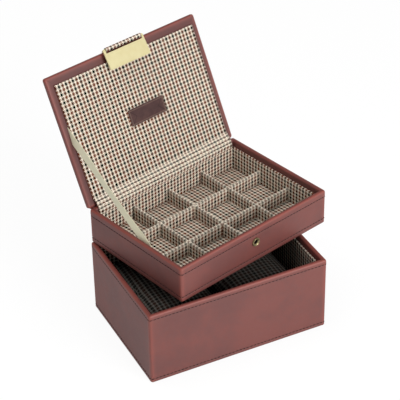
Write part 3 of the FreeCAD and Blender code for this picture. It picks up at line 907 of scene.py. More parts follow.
# ---------------------------------------------------------------- leather covers
@dataclass
class BoxCover:
    """Leather round an open box: up the outside, over the rim and down behind the lining.

    rows are the heights of the stitch rows, bored names a node whose hole goes through the front, and
    upper_rub is the burnish above the top row: what it starts with and what it gains up to the rim.
    """

    name: str
    seat: Seat
    half_x: float
    half_y: float
    height: float
    rows: tuple[float, ...]
    bored: str = ""
    wall: float = 4.4 * MM
    thickness: float = 0.9 * MM
    corner: float = 2.2 * MM
    inner_corner: float = 0.6 * MM
    crown: float = 1.9 * MM
    turn_in: float = 10.0 * MM
    foot: float = 0.4 * MM
    foot_curl: float = 0.35 * MM
    puff: float = 0.12 * MM
    swell: float = 0.10 * MM
    swell_size: float = 34 * MM
    upper_rub: tuple[float, float] = (0.10, 0.25)
    rim_rub: float = 0.55
    rim_base: float = 0.12
    rim_peak: float = 0.7 * MM
    rim_width: float = 0.9 * MM
    foot_rub: float = 0.12
    foot_width: float = 1.2 * MM
    painted_groove_shade: float = 0.6
    row_width: float = 0.45 * MM
    painted_lip_shade: float = 0.3
    thread: StitchRow = StitchRow()
    seed: int = 3

    def profile(self) -> tuple[Array, Array, Array, Array]:
        """Closed profile as distance inwards, height, burnish and painted shade.

        The outer face is level except for a groove under each row of stitches and a slight puff
        above the top row. The rim is two quarter circles with a flat between, and the way back runs
        inside by the leather's thickness.

        Returns:
            inward, height, rub and shade, each (t,).
        """
        top, last = self.height - self.crown, max(self.rows)
        face = np.unique(np.concatenate([[self.foot, self.foot + 0.5 * MM, self.foot + 1.2 * MM],
                                         np.linspace(2.5 * MM, top, 16), *map(self.thread.stops, self.rows)]))
        face = face[face <= top + 1e-9]
        sunk = sum(self.thread.pressed(face - row) for row in self.rows)
        sunk = sunk - self.puff * np.sin(math.pi * np.clip((face - last) / (top - last), 0, 1))
        sunk[0] += self.foot_curl
        near, far = rounding(self.crown, 8)
        outer_rim = pairs(near, self.height - far)
        inner_rim = pairs(self.wall - far, self.height - near)
        behind, under = self.wall - self.thickness, self.height - self.thickness
        points = np.vstack([pairs(sunk, face), outer_rim[1:], inner_rim,
                            pairs(self.wall, np.linspace(top, self.height - self.turn_in, 6)[1:]),
                            [[behind, self.height - self.turn_in], [behind, under], [self.thickness, under],
                             [self.thickness, self.foot], [sunk[0], face[0]]]])
        inward, height = points.T
        on_face = np.arange(len(inward)) < len(face)
        on_rim = ~on_face & (height > top - 1e-6) & (inward < self.wall)
        inside = ~on_face & (inward > self.wall - 0.3 * MM)
        above = np.clip((height - last) / (self.height - last), 0, 1)
        rub = np.where(on_face, self.upper_rub[0] * (above > 0) + self.upper_rub[1] * above ** 2, 0.0)
        worn = self.rim_rub * bell(inward - self.rim_peak, self.rim_width) + self.rim_base
        rub = np.where(on_rim, worn, rub)
        rub = np.maximum(rub, np.where(on_face, self.foot_rub * bell(height - self.foot, self.foot_width), 0))
        # Painted shade in the grooves under the stitch rows.
        shade = self.painted_groove_shade * sum(np.where(on_face, bell(height - row, self.row_width), 0)
                                     for row in self.rows)
        # Painted shade on the lip inside the rim, deeper further down.
        depth = np.clip((top - height) / (self.turn_in - self.crown), 0, 1)
        return inward, height, rub, np.clip(np.where(inside, self.painted_lip_shade * (1 + depth), shade), 0, 1)

    def cover(self, dress: Dress, nodes: Sequence[str]) -> bpy.types.Object:
        """Carries the profile round the plan and makes the leather.

        Its outside waves gently inwards, but not at the corners.
        """
        inward, height, rub, shade = self.profile()
        loop = PlanLoop(self.half_x, self.half_y)
        points = loop.carry(inward, between(self.corner, self.inner_corner, inward / self.wall), height)
        outside = np.clip(1 - inward / (2 * MM), 0, 1)
        push = ripple(points, self.swell_size, self.swell, self.seed) * outside * (1 - loop.corner_nearness())
        push[-1] = push[0]
        middle = points[..., :2] / np.maximum(np.linalg.norm(points[..., :2], axis=-1, keepdims=True), 1e-9)
        points[..., :2] -= middle * np.abs(push)[..., None] * 0.6
        worn, dark = loop.wear_and_painted_light(points, rub, shade, outside, height > self.height - 0.2 * MM)
        skin = Skin(self.name + "_leather_cover")
        skin.add(points, points[..., :2], worn, dark)
        piece = skin.build(self.seat, dress, crease=55)
        if self.bored:
            self.bore(piece, dress)
        return settle(piece, self.seat, nodes)

    def bore(self, piece: bpy.types.Object, dress: Dress) -> None:
        """Cuts the hole of the bored node through the front, as a cylinder taken from the leather.

        Args:
            piece: The leather.
            dress: What the leather wears.
        """
        low, high = self.seat.box(self.bored)
        middle, radius = (low + high) / 2, (high[0] - low[0]) / 2
        end = 2 * self.thickness - self.half_y
        start = 2 * middle[1] - end - 4 * MM
        skin = Skin("bore")
        skin.add(lathe(np.array([(0, start), (radius, start), (radius, end), (0, end)]), middle))
        cutter = skin.build(self.seat, dress)
        bake(piece, "BOOLEAN", object=cutter, operation="DIFFERENCE", solver="EXACT")
        bpy.data.objects.remove(cutter)
        piece.data.set_sharp_from_angle(angle=math.radians(50))

    def stitches(self, dress: Dress) -> bpy.types.Object:
        """Sews the rows of stitches round the box."""
        place, along, out = PlanLoop(self.half_x, self.half_y, 13, 60).evenly(self.thread.pitch, self.corner)
        skin = Skin(self.name + "_stitches")
        for row in self.rows:
            self.thread.sew(skin, raised(place - out * self.thread.seat, row), raised(along, 0),
                            raised(out, 0))
        return skin.seated(self.seat, dress, crease=80)


# ---------------------------------------------------------------- cloth-covered boards and pads
def slab(skin: Skin, xs: Array, ys: Array, top: Array, bottom: float,
         stretch: tuple[float, float] = (1.0, 1.0)) -> None:
    """Adds a block between a height field over a grid and a level, with its four sides.

    The cloth map is the plan, and on a side it runs on outwards by the depth below the top.

    Args:
        skin: Where to add it.
        xs, ys: Stops along X and Y.
        top: Heights at each pair of stops.
        bottom: The level.
        stretch: How much cloth lies on each length, both ways.
    """
    plan = grid(xs, ys)
    over, under = (np.concatenate([plan, np.broadcast_to(level, top.shape)[..., None]], axis=2)
                   for level in (top, bottom))
    for sheet in (over, under):
        skin.add(sheet, sheet[..., :2] * stretch)
    for edge, out in (((0, slice(None)), (-1, 0)), ((-1, slice(None)), (1, 0)),
                      ((slice(None), 0), (0, -1)), ((slice(None), -1), (0, 1))):
        side = np.stack([over[edge], under[edge]], axis=1)
        drop = np.abs(side[..., 2:] - side[:, :1, 2:])
        skin.add(side, (side[..., :2] + drop * np.array(out)) * stretch)


def band(skin: Skin, middle: Array, across: Array, width: float, thickness: float, cells: int,
         wave: float, wave_size: float, seed: int, shade: Values = 0.0, rub: Values = 0.0,
         run: Optional[Array] = None, limit: Optional[Callable[[Array], Array]] = None) -> None:
    """Adds a closed strip of cloth or leather along a line.

    Each point is the line plus a distance along across, moved half the thickness along the
    normal, which is the cross product of the line's heading and across.

    Args:
        skin: Where to add it.
        middle: (n, 3) line.
        across: (3,) or (n, 3) unit vectors over the width.
        width, thickness: Size of the section.
        cells: Stops over the width.
        wave, wave_size, seed: Depth, length and pattern of its unevenness.
        shade, rub: (n,) painted shade, and burnish with painted highlight, along it.
        run: (n,) place on the cloth along it, where that isn't the length walked.
        limit: Draws points back to where they may be.
    """
    across = np.broadcast_to(across, middle.shape)
    normal = np.cross(unit(np.gradient(middle, axis=0)), across)
    offset = np.linspace(-0.5, 0.5, cells) * width
    sheet = middle[:, None, :] + offset[None, :, None] * across[:, None, :]
    sheet = sheet + normal[:, None, :] * ripple(sheet, wave_size, wave, seed)[..., None]
    if limit is not None:
        sheet = limit(sheet)
    cloth = grid(run_length(middle) if run is None else run, offset)[..., ::-1]
    upper, lower = (sheet + normal[:, None, :] * side * thickness / 2 for side in (1, -1))
    ring = np.concatenate([upper, lower[:, ::-1], upper[:, :1]], axis=1)
    bright, dark = (np.broadcast_to(value, len(middle)) for value in (rub, shade))
    skin.add(ring, np.concatenate([cloth, cloth[:, ::-1], cloth[:, :1]], axis=1), bright[:, None],
             dark[:, None])
    for end in (0, -1):
        skin.add(np.stack([upper[end], lower[end]]), np.stack([cloth[end]] * 2), bright[end], dark[end])


@dataclass
class Lining:
    """Cloth-covered boards round the inside of a box, mitred at its corners and rounded on top.

    dim is how much painted shade darkens them, 0 to 1, most at depth.
    """

    name: str
    seat: Seat
    outer_x: float
    outer_y: float
    floor: float
    top: float
    dim: float = 0.0
    thickness: float = 2.0 * MM
    edge: float = 0.8 * MM
    corner: float = 0.6 * MM
    inner_corner: float = 0.1 * MM
    swell: float = 0.22 * MM
    wave: float = 0.16 * MM
    wave_size: float = 26 * MM
    dim_depth: float = 12 * MM
    seed: int = 5

    def profile(self) -> tuple[Array, Array]:
        """Closed profile as distance inwards and height.

        The inner face swells by a sine of its height, and the top edge is two quarter circles.
        """
        near, far = rounding(self.edge, 5)
        back = pairs(near, self.top - far)
        front = pairs(self.thickness - far, self.top - near)
        down = np.linspace(self.top - self.edge, self.floor, 12)[1:]
        rise = (down - self.floor) / (self.top - self.edge - self.floor)
        face = pairs(self.thickness + self.swell * np.sin(math.pi * rise), down)
        return np.vstack([[[0, self.floor]], back, front, face, [[0, self.floor]]]).T

    def build(self, dress: Dress, nodes: Sequence[str]) -> bpy.types.Object:
        """Carries the profile round the inside, with the cloth measured along the inner face."""
        inward, height = self.profile()
        loop = PlanLoop(self.outer_x, self.outer_y, 5, 30)
        points = loop.carry(inward, between(self.corner, self.inner_corner, inward / self.thickness), height)
        on_top = height > self.top - 1.2 * MM
        points[..., 2] += ripple(points, self.wave_size, self.wave, self.seed) * on_top
        walked = run_length(loop.at(np.array([self.thickness]), np.array([self.inner_corner]))[:, 0])
        # Painted shade, deepening below the top.
        depth = np.clip((self.top - height) / self.dim_depth, 0, 1)
        skin = Skin(self.name + "_lining")
        skin.add(points, grid(walked, run_length(pairs(inward, height))),
                 shade=self.dim * (0.55 + 0.45 * depth))
        return skin.seated(self.seat, dress, nodes, crease=50)


@dataclass
class TrayFittings:
    """Padded compartment floors and the dividers between them.

    stretch is how much cloth lies on each length of the floor, both ways.
    """

    seat: Seat
    dress: Dress
    dome: float = 0.7 * MM
    sink: float = 0.45 * MM
    wave: float = 0.14 * MM
    lean_size: float = 30 * MM
    sag_size: float = 18 * MM
    painted_top_highlight: float = 0.3
    stretch: tuple[float, float] = (1.075, 0.93)
    long_nodes: tuple[str, ...] = tuple(f"tray_long_divider_{i}" for i in (1, 2))
    cross_nodes: tuple[str, ...] = tuple(f"tray_cross_divider_{i}" for i in (1, 2, 3))

    def divider(self, node: str, seed: int) -> bpy.types.Object:
        """One board wrapped in cloth: straight sides and a half-round top, closed at both ends.

        The ends close by drawing the last section in to its middle.

        Args:
            node: The CAD node.
            seed: The pattern of its unevenness.

        Returns:
            The piece.
        """
        low, high = self.seat.box(node)
        size = high - low
        along = 0 if size[0] > size[1] else 1
        across = 1 - along
        half, heart = size[across] / 2, size[2] / 2
        turn = np.linspace(0, math.pi, 9)
        side = np.linspace(0, size[2] - half, 5)
        section = np.vstack([pairs(half, side),
                             pairs(half * np.cos(turn), size[2] - half + half * np.sin(turn))[1:-1],
                             pairs(-half, side[::-1]), [[half, 0]]])
        stops = np.linspace(low[along], high[along], 64)
        stops = np.concatenate([stops[:1], stops, stops[-1:]])
        scale = np.ones((len(stops), 1))
        scale[[0, -1]] = 0
        points = np.empty((len(stops), len(section), 3))
        points[..., along] = stops[:, None]
        points[..., across] = (low[across] + half) + scale * section[:, 0]
        points[..., 2] = low[2] + heart + scale * (section[:, 1] - heart)
        height = (points[..., 2] - low[2]) / size[2]
        line = points.copy()
        line[..., across] = low[across]
        line[..., 2] = low[2]
        points[..., across] += ripple(line, self.lean_size, self.wave, seed) * height
        points[..., 2] += ripple(line, self.sag_size, self.wave, seed + 40) * height ** 3
        skin = Skin(node.replace("tray_", "cloth_"))
        # Painted highlight along the divider's top.
        skin.add(points, grid(stops + 0.7 * MM * seed, run_length(section)),
                 self.painted_top_highlight * np.clip(height, 0, 1) ** 8)
        return skin.seated(self.seat, self.dress, [node], crease=60)

    def floors(self) -> bpy.types.Object:
        """One pad under the grid that swells in each compartment.

        Its height is a dome that is one minus the fourth power of the place across the
        compartment, both ways, times the same along it.
        """
        low, high = self.seat.box("tray_floor_pad")
        share = np.linspace(0, 1, 13)[:-1]
        stops, dome = [], []
        for axis, nodes in enumerate((self.cross_nodes, self.long_nodes)):
            marks = sorted(np.mean(self.seat.box(node), axis=0)[axis] for node in nodes)
            ends = np.array([low[axis], *marks, high[axis]])
            runs = (ends[:-1, None] + (ends[1:] - ends[:-1])[:, None] * share).ravel()
            stops.append(np.append(runs, ends[-1]))
            dome.append(np.append(np.tile(1 - (2 * share - 1) ** 4, len(ends) - 1), 0.0))
        top = high[2] - self.sink + (self.dome + self.sink) * (dome[0][:, None] * dome[1][None, :])
        skin = Skin("compartment_floors")
        slab(skin, *stops, top, low[2], self.stretch)
        piece = skin.seated(self.seat, self.dress, ["tray_floor_pad"], crease=60)
        return piece

    def build(self) -> None:
        """Makes the floors and every divider."""
        self.floors()
        for seed, node in enumerate(self.long_nodes + self.cross_nodes, 11):
            self.divider(node, seed)


@dataclass
class BaseFloor:
    """Cloth-covered pad on the lower box's floor, slightly domed by one minus the sixth power."""

    seat: Seat
    dress: Dress
    dome: float = 0.5 * MM
    stops: tuple[int, int] = (40, 30)

    def build(self) -> None:
        """Makes the pad."""
        low, high = self.seat.box("base_floor_pad")
        xs, ys = (np.linspace(low[i], high[i], count) for i, count in enumerate(self.stops))
        rise_x, rise_y = (1 - np.linspace(-1, 1, count) ** 6 for count in self.stops)
        skin = Skin("base_floor_cloth")
        slab(skin, xs, ys, high[2] - self.dome * (1 - rise_x[:, None] * rise_y[None, :]), low[2])
        skin.seated(self.seat, self.dress, ["base_floor_pad"])


@dataclass
class WatchPillow:
    """Stuffed block for a watch strap, plumped by the cloth simulation.

    dim is how much painted shade darkens it, 0 to 1.
    """

    node: str
    seat: Seat
    dress: Dress
    voxel: float = 4.5 * MM
    shrink: float = 1.6 * MM
    reach: float = 4.0 * MM
    rest_room: float = 1.2 * MM
    pressure: float = 4.0
    frames: int = 20
    squareness: tuple[float, float] = (0.42, 0.2)
    dim: float = 0.88

    def form(self) -> Skin:
        """Start form: a box with rounded edges, as powers of a sphere's sine and cosine.

        Each of x, y and z is a half size times a sine or cosine raised to a small power with its
        sign kept, so that the sphere fills out to a box. squareness holds the powers round the
        pillow's length and towards its ends.
        """
        low, high = self.seat.box(self.node)
        half = (high - low) / 2 - self.shrink
        lat = np.linspace(-math.pi / 2, math.pi / 2, 60)[:, None]
        lon = np.linspace(-math.pi, math.pi, 121)[None, :]

        def power(wave: Array, share: float) -> Array:
            return np.sign(np.round(wave, 9)) * np.abs(np.round(wave, 9)) ** share

        ring, end = self.squareness
        x = half[0] * power(np.cos(lon), ring) * power(np.cos(lat), end)
        z = half[2] * power(np.sin(lon), ring) * power(np.cos(lat), end)
        y = half[1] * power(np.sin(lat), end) * np.ones_like(lon)
        skin = Skin(self.node + "_start")
        skin.add(np.stack([x, y, z], axis=-1) + (low + high) / 2)
        return skin

    def plump(self, piece: bpy.types.Object) -> None:
        """Blows the form up with the cloth simulation and applies the result, each move capped."""
        cloth = piece.modifiers.new("Cloth", "CLOTH").settings
        cloth.use_pressure = True
        cloth.uniform_pressure_force = self.pressure
        cloth.effector_weights.gravity = 0
        cloth.quality = 5
        start = read(piece.data.vertices, "co")
        scene = bpy.context.scene
        for number in range(1, self.frames + 1):
            scene.frame_set(number)
        result = piece.evaluated_get(bpy.context.evaluated_depsgraph_get()).to_mesh()
        moved = read(result.vertices, "co") - start
        piece.to_mesh_clear()
        piece.modifiers.clear()
        scene.frame_set(1)
        far = np.maximum(np.linalg.norm(moved, axis=1, keepdims=True), 1e-9)
        piece.data.vertices.foreach_set("co", (start + moved / far * np.minimum(far, self.reach)).ravel())

    def rest(self, mesh: bpy.types.Mesh) -> None:
        """Keeps the pillow in its place: each side that touches something is pressed flat.

        Past the limit a distance d is held to the room r as r times the hyperbolic tangent of d over
        r, starting a little before the limit.
        """
        points = read(mesh.vertices, "co")
        low, high = self.seat.box(self.node)
        middle, limit = (low + high) / 2, (high - low) / 2 - self.rest_room
        reach = np.abs(points - middle)
        over = reach - limit
        reach = np.where(over > 0, limit + self.rest_room * np.tanh(over / self.rest_room), reach)
        mesh.vertices.foreach_set("co", (middle + np.sign(points - middle) * reach).ravel())

    def cloth_map(self, mesh: bpy.types.Mesh) -> None:
        """Lays the cloth on by the side that each face looks to, running on over the long edges."""
        corners = read(mesh.loops, "vertex_index", 1, int)[:, 0]
        counts = read(mesh.polygons, "loop_total", 1, int)[:, 0]
        low, high = self.seat.box(self.node)
        at = read(mesh.vertices, "co")[corners]
        facing = np.repeat(np.abs(read(mesh.polygons, "normal")).argmax(axis=1), counts)
        beyond = np.sign(at - (low + high) / 2) * (high[2] - at[:, 2])[:, None]
        cloth = np.stack([at[:, i] + np.where(facing == i, beyond[:, i], 0.0) for i in range(2)], axis=1)
        layer = mesh.uv_layers.get("cloth") or mesh.uv_layers.new(name="cloth")
        layer.uv.foreach_set("vector", cloth.astype(np.float32).ravel())
        # Painted shade over the whole pillow.
        shade = mesh.attributes.get("shade") or mesh.attributes.new("shade", "FLOAT", "POINT")
        shade.data.foreach_set("value", np.full(len(mesh.vertices), self.dim, np.float32))

    def build(self) -> bpy.types.Object:
        """Makes the pillow."""
        piece = self.form().build(self.seat, self.dress)
        piece.name = piece.data.name = self.node + "_stuffed"
        bake(piece, "REMESH", mode="VOXEL", voxel_size=self.voxel)
        self.plump(piece)
        bake(piece, "SUBSURF", levels=1, render_levels=1)
        self.rest(piece.data)
        self.cloth_map(piece.data)
        piece.data.shade_smooth()
        settle(piece, self.seat, [self.node])
        return piece


# ---------------------------------------------------------------- lid
@dataclass
class Lid:
    """Leather-covered lid with its padded lining and the patch sewn on that."""

    layout: Layout
    finishes: Wardrobe
    edge: float = 1.6 * MM
    corner: float = 2.2 * MM
    inner_corner: float = 0.6 * MM
    corner_run: float = 4 * MM
    thickness: float = 0.9 * MM
    frame_width: float = 14 * MM
    stitch_inset: float = 4.7 * MM
    thread: StitchRow = StitchRow()
    painted_frame_shade: float = 0.42
    painted_groove_shade: float = 0.3
    row_width: float = 0.4 * MM
    side_rub: float = 0.15
    edge_rub: float = 0.35
    edge_width: float = 1.0 * MM
    wave: float = 0.05 * MM
    cushion_edge: float = 1.1 * MM
    cushion_wave: float = 0.12 * MM
    cushion_wave_size: float = 45 * MM
    patch_corner: float = 1.0 * MM
    patch_line: float = 1.5 * MM
    patch_line_depth: float = 0.16 * MM
    patch_line_width: float = 0.26 * MM
    patch_rub: float = 0.75
    patch_rub_width: float = 0.34 * MM

    def cover(self) -> bpy.types.Object:
        """Leather over the board: turned in below, round both edges and over the top."""
        low, high = (corner[2] for corner in self.layout.lid.box("lid_leather"))
        half_y = self.layout.half_y
        near, far = rounding(self.edge, 7)
        top_run = np.unique(np.concatenate([self.thread.stops(self.stitch_inset),
                                            np.linspace(self.edge, half_y, 14)]))[1:]
        inner = np.array([[half_y, high - self.thickness], [self.thickness, high - self.thickness],
                          [self.thickness, low + self.thickness], [self.frame_width, low + self.thickness],
                          [self.frame_width, low]])
        points = np.vstack([pairs(np.linspace(self.frame_width, self.edge, 12), low),
                            pairs(far, low + near)[1:], pairs(near, high - far),
                            pairs(top_run, high - self.thread.pressed(top_run - self.stitch_inset)), inner])
        inward, height = points.T
        wide = between(self.corner, self.inner_corner, inward / self.corner_run)
        closing = self.inner_corner * np.clip((half_y - inward) / self.corner_run, 0, 1)
        radius = np.minimum(np.where(inward < self.frame_width + 1e-9, wide, closing),
                            np.maximum(half_y - inward, 0))
        outer = np.arange(len(inward)) < len(inward) - len(inner)
        off_edge = np.minimum(np.abs(height - low), np.abs(height - high))
        off_edge = off_edge + np.maximum(inward - 1.4 * MM, 0) * 0.5
        side = outer & (height > low + 0.3 * MM) & (height < high - 0.3 * MM)
        rub = np.maximum(self.side_rub * side, self.edge_rub * bell(off_edge, self.edge_width) * outer)
        # Painted shade in the groove of the top stitch row.
        row = self.painted_groove_shade * bell(inward - self.stitch_inset, self.row_width)
        shade = np.where(outer & (height > high - 1 * MM), row, 0.0)
        # Painted shade over the frame, deepening towards the lining pad.
        shade = np.where(outer & (height < low + 0.05 * MM),
                         self.painted_frame_shade * np.clip((inward - 1.8 * MM) / (2.6 * MM), 0, 1), shade)
        loop = PlanLoop(self.layout.half_x, half_y)
        skin = loop.shell("lid_leather_cover", inward, height, radius, rub, shade, self.wave)
        return skin.seated(self.layout.lid, self.finishes.leather, ["lid_leather"], crease=55)

    def stitches(self) -> bpy.types.Object:
        """A row of stitches round the top."""
        top = self.layout.lid.box("lid_leather")[1][2] - self.thread.seat
        half_x, half_y = (half - self.stitch_inset for half in (self.layout.half_x, self.layout.half_y))
        place, along, _ = PlanLoop(half_x, half_y, 13, 60).evenly(self.thread.pitch, self.inner_corner)
        skin = Skin("lid_stitches")
        self.thread.sew(skin, raised(place, top), raised(along, 0), raised(0 * place, 1))
        return skin.seated(self.layout.lid, self.finishes.thread, crease=80)

    def cushion(self) -> bpy.types.Object:
        """Thin pad under the lining cloth: a height field that turns down as a quarter circle at its edge."""
        low, high = self.layout.lid.box("lid_panel_cushion")
        edge = self.cushion_edge
        rim = rounding(edge, 6)[0]
        xs, ys = (np.concatenate([low[i] + rim, np.linspace(low[i] + edge, high[i] - edge, count)[1:-1],
                                  (high[i] - rim)[::-1]]) for i, count in ((0, 46), (1, 32)))
        x, y = np.meshgrid(xs, ys, indexing="ij")
        depth = np.minimum(np.minimum(x - low[0], high[0] - x), np.minimum(y - low[1], high[1] - y))
        lift = np.sqrt(np.clip(1 - (1 - np.clip(depth / edge, 0, 1)) ** 2, 0, 1))
        face = high[2] - (high[2] - low[2]) * (0.12 + 0.88 * lift)
        plan = np.stack([x, y, 0 * x], axis=-1)
        face += ripple(plan, self.cushion_wave_size, self.cushion_wave, 12) * lift
        skin = Skin("lid_lining_pad")
        slab(skin, xs, ys, face, high[2])
        piece = skin.seated(self.layout.lid, self.finishes.cloth, ["lid_panel_cushion"], crease=60)
        return piece

    def patch(self) -> bpy.types.Object:
        """Leather patch: a bevelled edge and one pressed line inside it."""
        low, high = self.layout.lid.box("lid_patch")
        middle, (half_x, half_y, _) = (low + high) / 2, (high - low) / 2
        low, high = low[2], high[2]
        run = np.concatenate([[0.3 * MM, 0.6 * MM], np.linspace(0.9, 2.1, 9) * MM,
                              np.linspace(2.6 * MM, half_y, 7)])
        pressed = self.patch_line_depth * bell(run - self.patch_line, self.patch_line_width)
        inward, height = np.vstack([[[half_y, high], [0, high], [0, low + 0.3 * MM],
                                     [0.1 * MM, low + 0.1 * MM]], pairs(run, low + pressed)]).T
        radius = np.minimum(self.patch_corner * np.clip(1 - inward / (3 * MM), 0.25, 1),
                            np.maximum(half_y - inward, 0))
        rubbed = self.patch_rub * bell(inward - self.patch_line, self.patch_rub_width)
        rub = rubbed * (height < low + 0.25 * MM)
        loop = PlanLoop(half_x, half_y, 5, 12)
        skin = loop.shell("lid_patch_leather", inward, height, radius, rub, 0 * inward)
        lid = self.layout.lid
        seat = replace(lid, origin=lid.place(np.array([middle[0], middle[1], 0.0])))
        return skin.seated(seat, self.finishes.patch, ["lid_patch"], crease=50)

    def build(self) -> None:
        """Makes the lid's pieces."""
        self.cover()
        self.stitches()
        self.cushion()
        self.patch()


# ---------------------------------------------------------------- hinge, ribbon, strap and snap
class Held(Enum):
    """How a strip of cloth is held, in the words of its record."""

    GATHERED = "gathered"
    STRETCHED = "stretched"
    HUNG = "hung"


@dataclass
class Soft:
    """Cloth and leather strips between the tray, the lid and the tab, and the snap's ring.

    The two lines are (y, height) in millimetres in the tray's seat: the hinge cloth's from the
    tray's floor up, and the ribbon's from the lid down, with its height above the rim.
    """

    layout: Layout
    finishes: Wardrobe
    cloth: float = 0.55 * MM
    strap: float = 0.65 * MM
    strap_radius: float = 2.0 * MM
    tongue_half: float = 0.33 * MM
    bar_inset: float = 0.6 * MM
    hinge_half: float = 0.45 * MM
    hinge_inset: float = 2.6 * MM
    rim_crown: float = 1.9 * MM
    check_pitch: float = 3.78 * MM
    ribbon_width: float = 9.6 * MM
    ribbon_thickness: float = 0.35 * MM
    ribbon_depth: float = 3.6 * MM
    ribbon_lead: float = 1.7 * MM
    ribbon_sway: float = 0.5 * MM
    ribbon_lean: float = 0.10
    narrowest_sheet: float = 10 * MM
    creases: tuple[tuple[float, float], ...] = ((58.9, 34.6), (60.6, 37.6), (62.9, 40.8))
    hinge_line: tuple[tuple[float, float], ...] = (
        (57.6, 29.4), (57.6, 31.6), (57.3, 33.6), (57.9, 34.7), (58.9, 34.5), (58.9, 35.9), (58.6, 37.2),
        (59.4, 38.0), (60.6, 37.5), (61.0, 38.8), (60.9, 40.2), (61.8, 41.0), (62.9, 40.7), (63.3, 41.8),
        (64.1, 43.4))
    ribbon_line: tuple[tuple[float, float], ...] = (
        (99.7, 66.6), (95.5, 63.9), (91.3, 61.3), (84.5, 57.8), (76.4, 54.1), (68.3, 49.3), (59.4, 43.8),
        (51.5, 38.8), (43.6, 33.2), (36.2, 27.9), (28.8, 23.0), (19.6, 16.7), (9.6, 10.4), (1.5, 5.9),
        (-4.7, 3.0), (-11.5, -1.7), (-17.0, -6.0))
    ring_shape: tuple[tuple[float, float], ...] = (
        (2.1, 0.05), (2.1, 0.35), (2.25, 0.62), (2.55, 0.72), (2.85, 0.80), (3.15, 1.05),
        (3.45, 1.30), (3.75, 1.40), (4.05, 1.30), (4.28, 1.02), (4.4, 0.60), (4.4, 0.05))

    def opened(self, along: float, above: float) -> Array:
        """Place in the tray's seat of a point on the open lid, along it from the hinge and off its frame."""
        angle = math.pi - self.layout.open_angle
        return np.array([0, self.layout.half_y + along * math.cos(angle) - above * math.sin(angle),
                         self.layout.tray_height + along * math.sin(angle) + above * math.cos(angle)])

    def strip(self, name: str, node: str, line: Array, width: float, thickness: float, cells: int,
              dress: Dress, turning: tuple[int, int], held: Held, across: Array = ALONG_X,
              wave: float = 0.0, wave_size: float = 20 * MM, seed: int = 1,
              **looks: object) -> bpy.types.Object:
        """Args:
            name, node: The piece and the node it stands for.
            line, width, thickness, cells, across, wave, wave_size, seed: The strip, as band takes it.
            dress: What it wears.
            turning: The line's stops where the turn starts and ends.
            held: How the cloth is held; not used.
            looks: What else band takes.

        Returns:
            The piece.
        """
        skin = Skin(name)
        band(skin, line, across, width, thickness, cells, wave, wave_size, seed, **looks)
        piece = skin.build(self.layout.tray, dress, crease=70)
        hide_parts(node)
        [Vector(self.layout.tray.place(line[stop])) for stop in turning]
        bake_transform(piece)
        return piece

    def hinge_cloth(self) -> bpy.types.Object:
        """Lining cloth over the hinge, creased into ridges by the opened lid, with painted shade in the
        creases and painted highlight on the ridges.
        """
        low, high = self.layout.tray.box("hinge_cloth")
        line = smooth_run(np.array(self.hinge_line) * MM, 84)
        line = np.column_stack([np.zeros(len(line)), line])
        apart = np.linalg.norm(line[:, None, 1:] - np.array(self.creases) * MM, axis=2)
        walked, folds = run_length(line), apart.argmin(axis=0)
        marks = (np.arange(len(folds)) + 0.25) * self.check_pitch
        run = np.interp(walked, [0, *walked[folds], walked[-1]],
                        [marks[0] - walked[folds[0]], *marks, marks[-1] + walked[-1] - walked[folds[-1]]])
        # Painted highlight on each ridge's crest; painted shade follows in the creases.
        painted_crest_highlight = np.sin(math.pi * run / self.check_pitch - math.pi / 4) ** 2
        return self.strip("hinge_lining", "hinge_cloth", line, high[0] - low[0], self.cloth, 90,
                          self.finishes.cloth, (20, 76), Held.GATHERED, wave=0.12 * MM, wave_size=16 * MM,
                          seed=21, run=run, shade=0.85 * bell(apart.min(axis=1), 0.5 * MM),
                          rub=0.45 * painted_crest_highlight * (run > marks[0] - self.check_pitch / 2))

    def hinge_leather(self) -> bpy.types.Object:
        """Leather strip behind the hinge: down the back wall and up the lid's edge."""
        foot = self.layout.tray.box("hinge_leather")[0][2]
        crown = self.layout.tray_height - self.rim_crown
        half, out = self.hinge_half, self.layout.half_y + self.hinge_half
        line = smooth_run(np.array([
            [0, out, foot + 0.2 * MM], [0, out, foot + 3 * MM], [0, out, crown - 1.6 * MM],
            [0, out + 0.25 * MM, crown + 0.1 * MM], self.opened(-half, -1.6 * MM),
            self.opened(-half, -3.6 * MM)]), 30)
        return self.strip("hinge_strip", "hinge_leather", line, 2 * (self.layout.half_x - self.hinge_inset),
                          2 * half, 60, self.finishes.leather, (9, 27), Held.STRETCHED)

    def in_lid(self, points: Array) -> Array:
        """Points of the tray's seat, with those that go too deep into the open lid drawn back to that depth.

        The depth is the distance behind the lid's frame, along the opened lid's normal.
        """
        origin, normal = self.opened(0, 0), self.opened(0, 1) - self.opened(0, 0)
        depth = -(points - origin) @ normal
        past = np.clip(depth - self.ribbon_depth, 0, None) * (points[..., 1] > self.layout.half_y)
        return points + past[..., None] * normal

    def ribbon(self) -> bpy.types.Object:
        """Satin stay, standing on edge with a slight twist, its head led inwards to the lid."""
        points = np.array(self.ribbon_line)[::-1] * MM + np.array([0, self.layout.tray_height])
        flat = smooth_run(points, 90)
        low, high = self.layout.tray.box("stay_ribbon")
        share = np.linspace(0, 1, len(flat))
        side = (low[0] + high[0]) / 2 + self.ribbon_sway * np.sin(math.pi * share) * np.sin(7 * share)
        side = side + self.ribbon_lead * np.clip((share - 0.45) / 0.5, 0, 1)
        ahead = unit(np.gradient(flat, axis=0))
        lean = self.ribbon_lean * np.sin(9 * share + 0.6) * np.sin(math.pi * share)
        across = unit(np.column_stack([lean, -ahead[:, 1], ahead[:, 0]]))
        return self.strip("satin_stay", "stay_ribbon", np.column_stack([side, flat]), self.ribbon_width,
                          self.ribbon_thickness, 9, self.finishes.satin, (4, -5), Held.HUNG, across,
                          0.10 * MM, 13 * MM, 21, limit=self.in_lid)

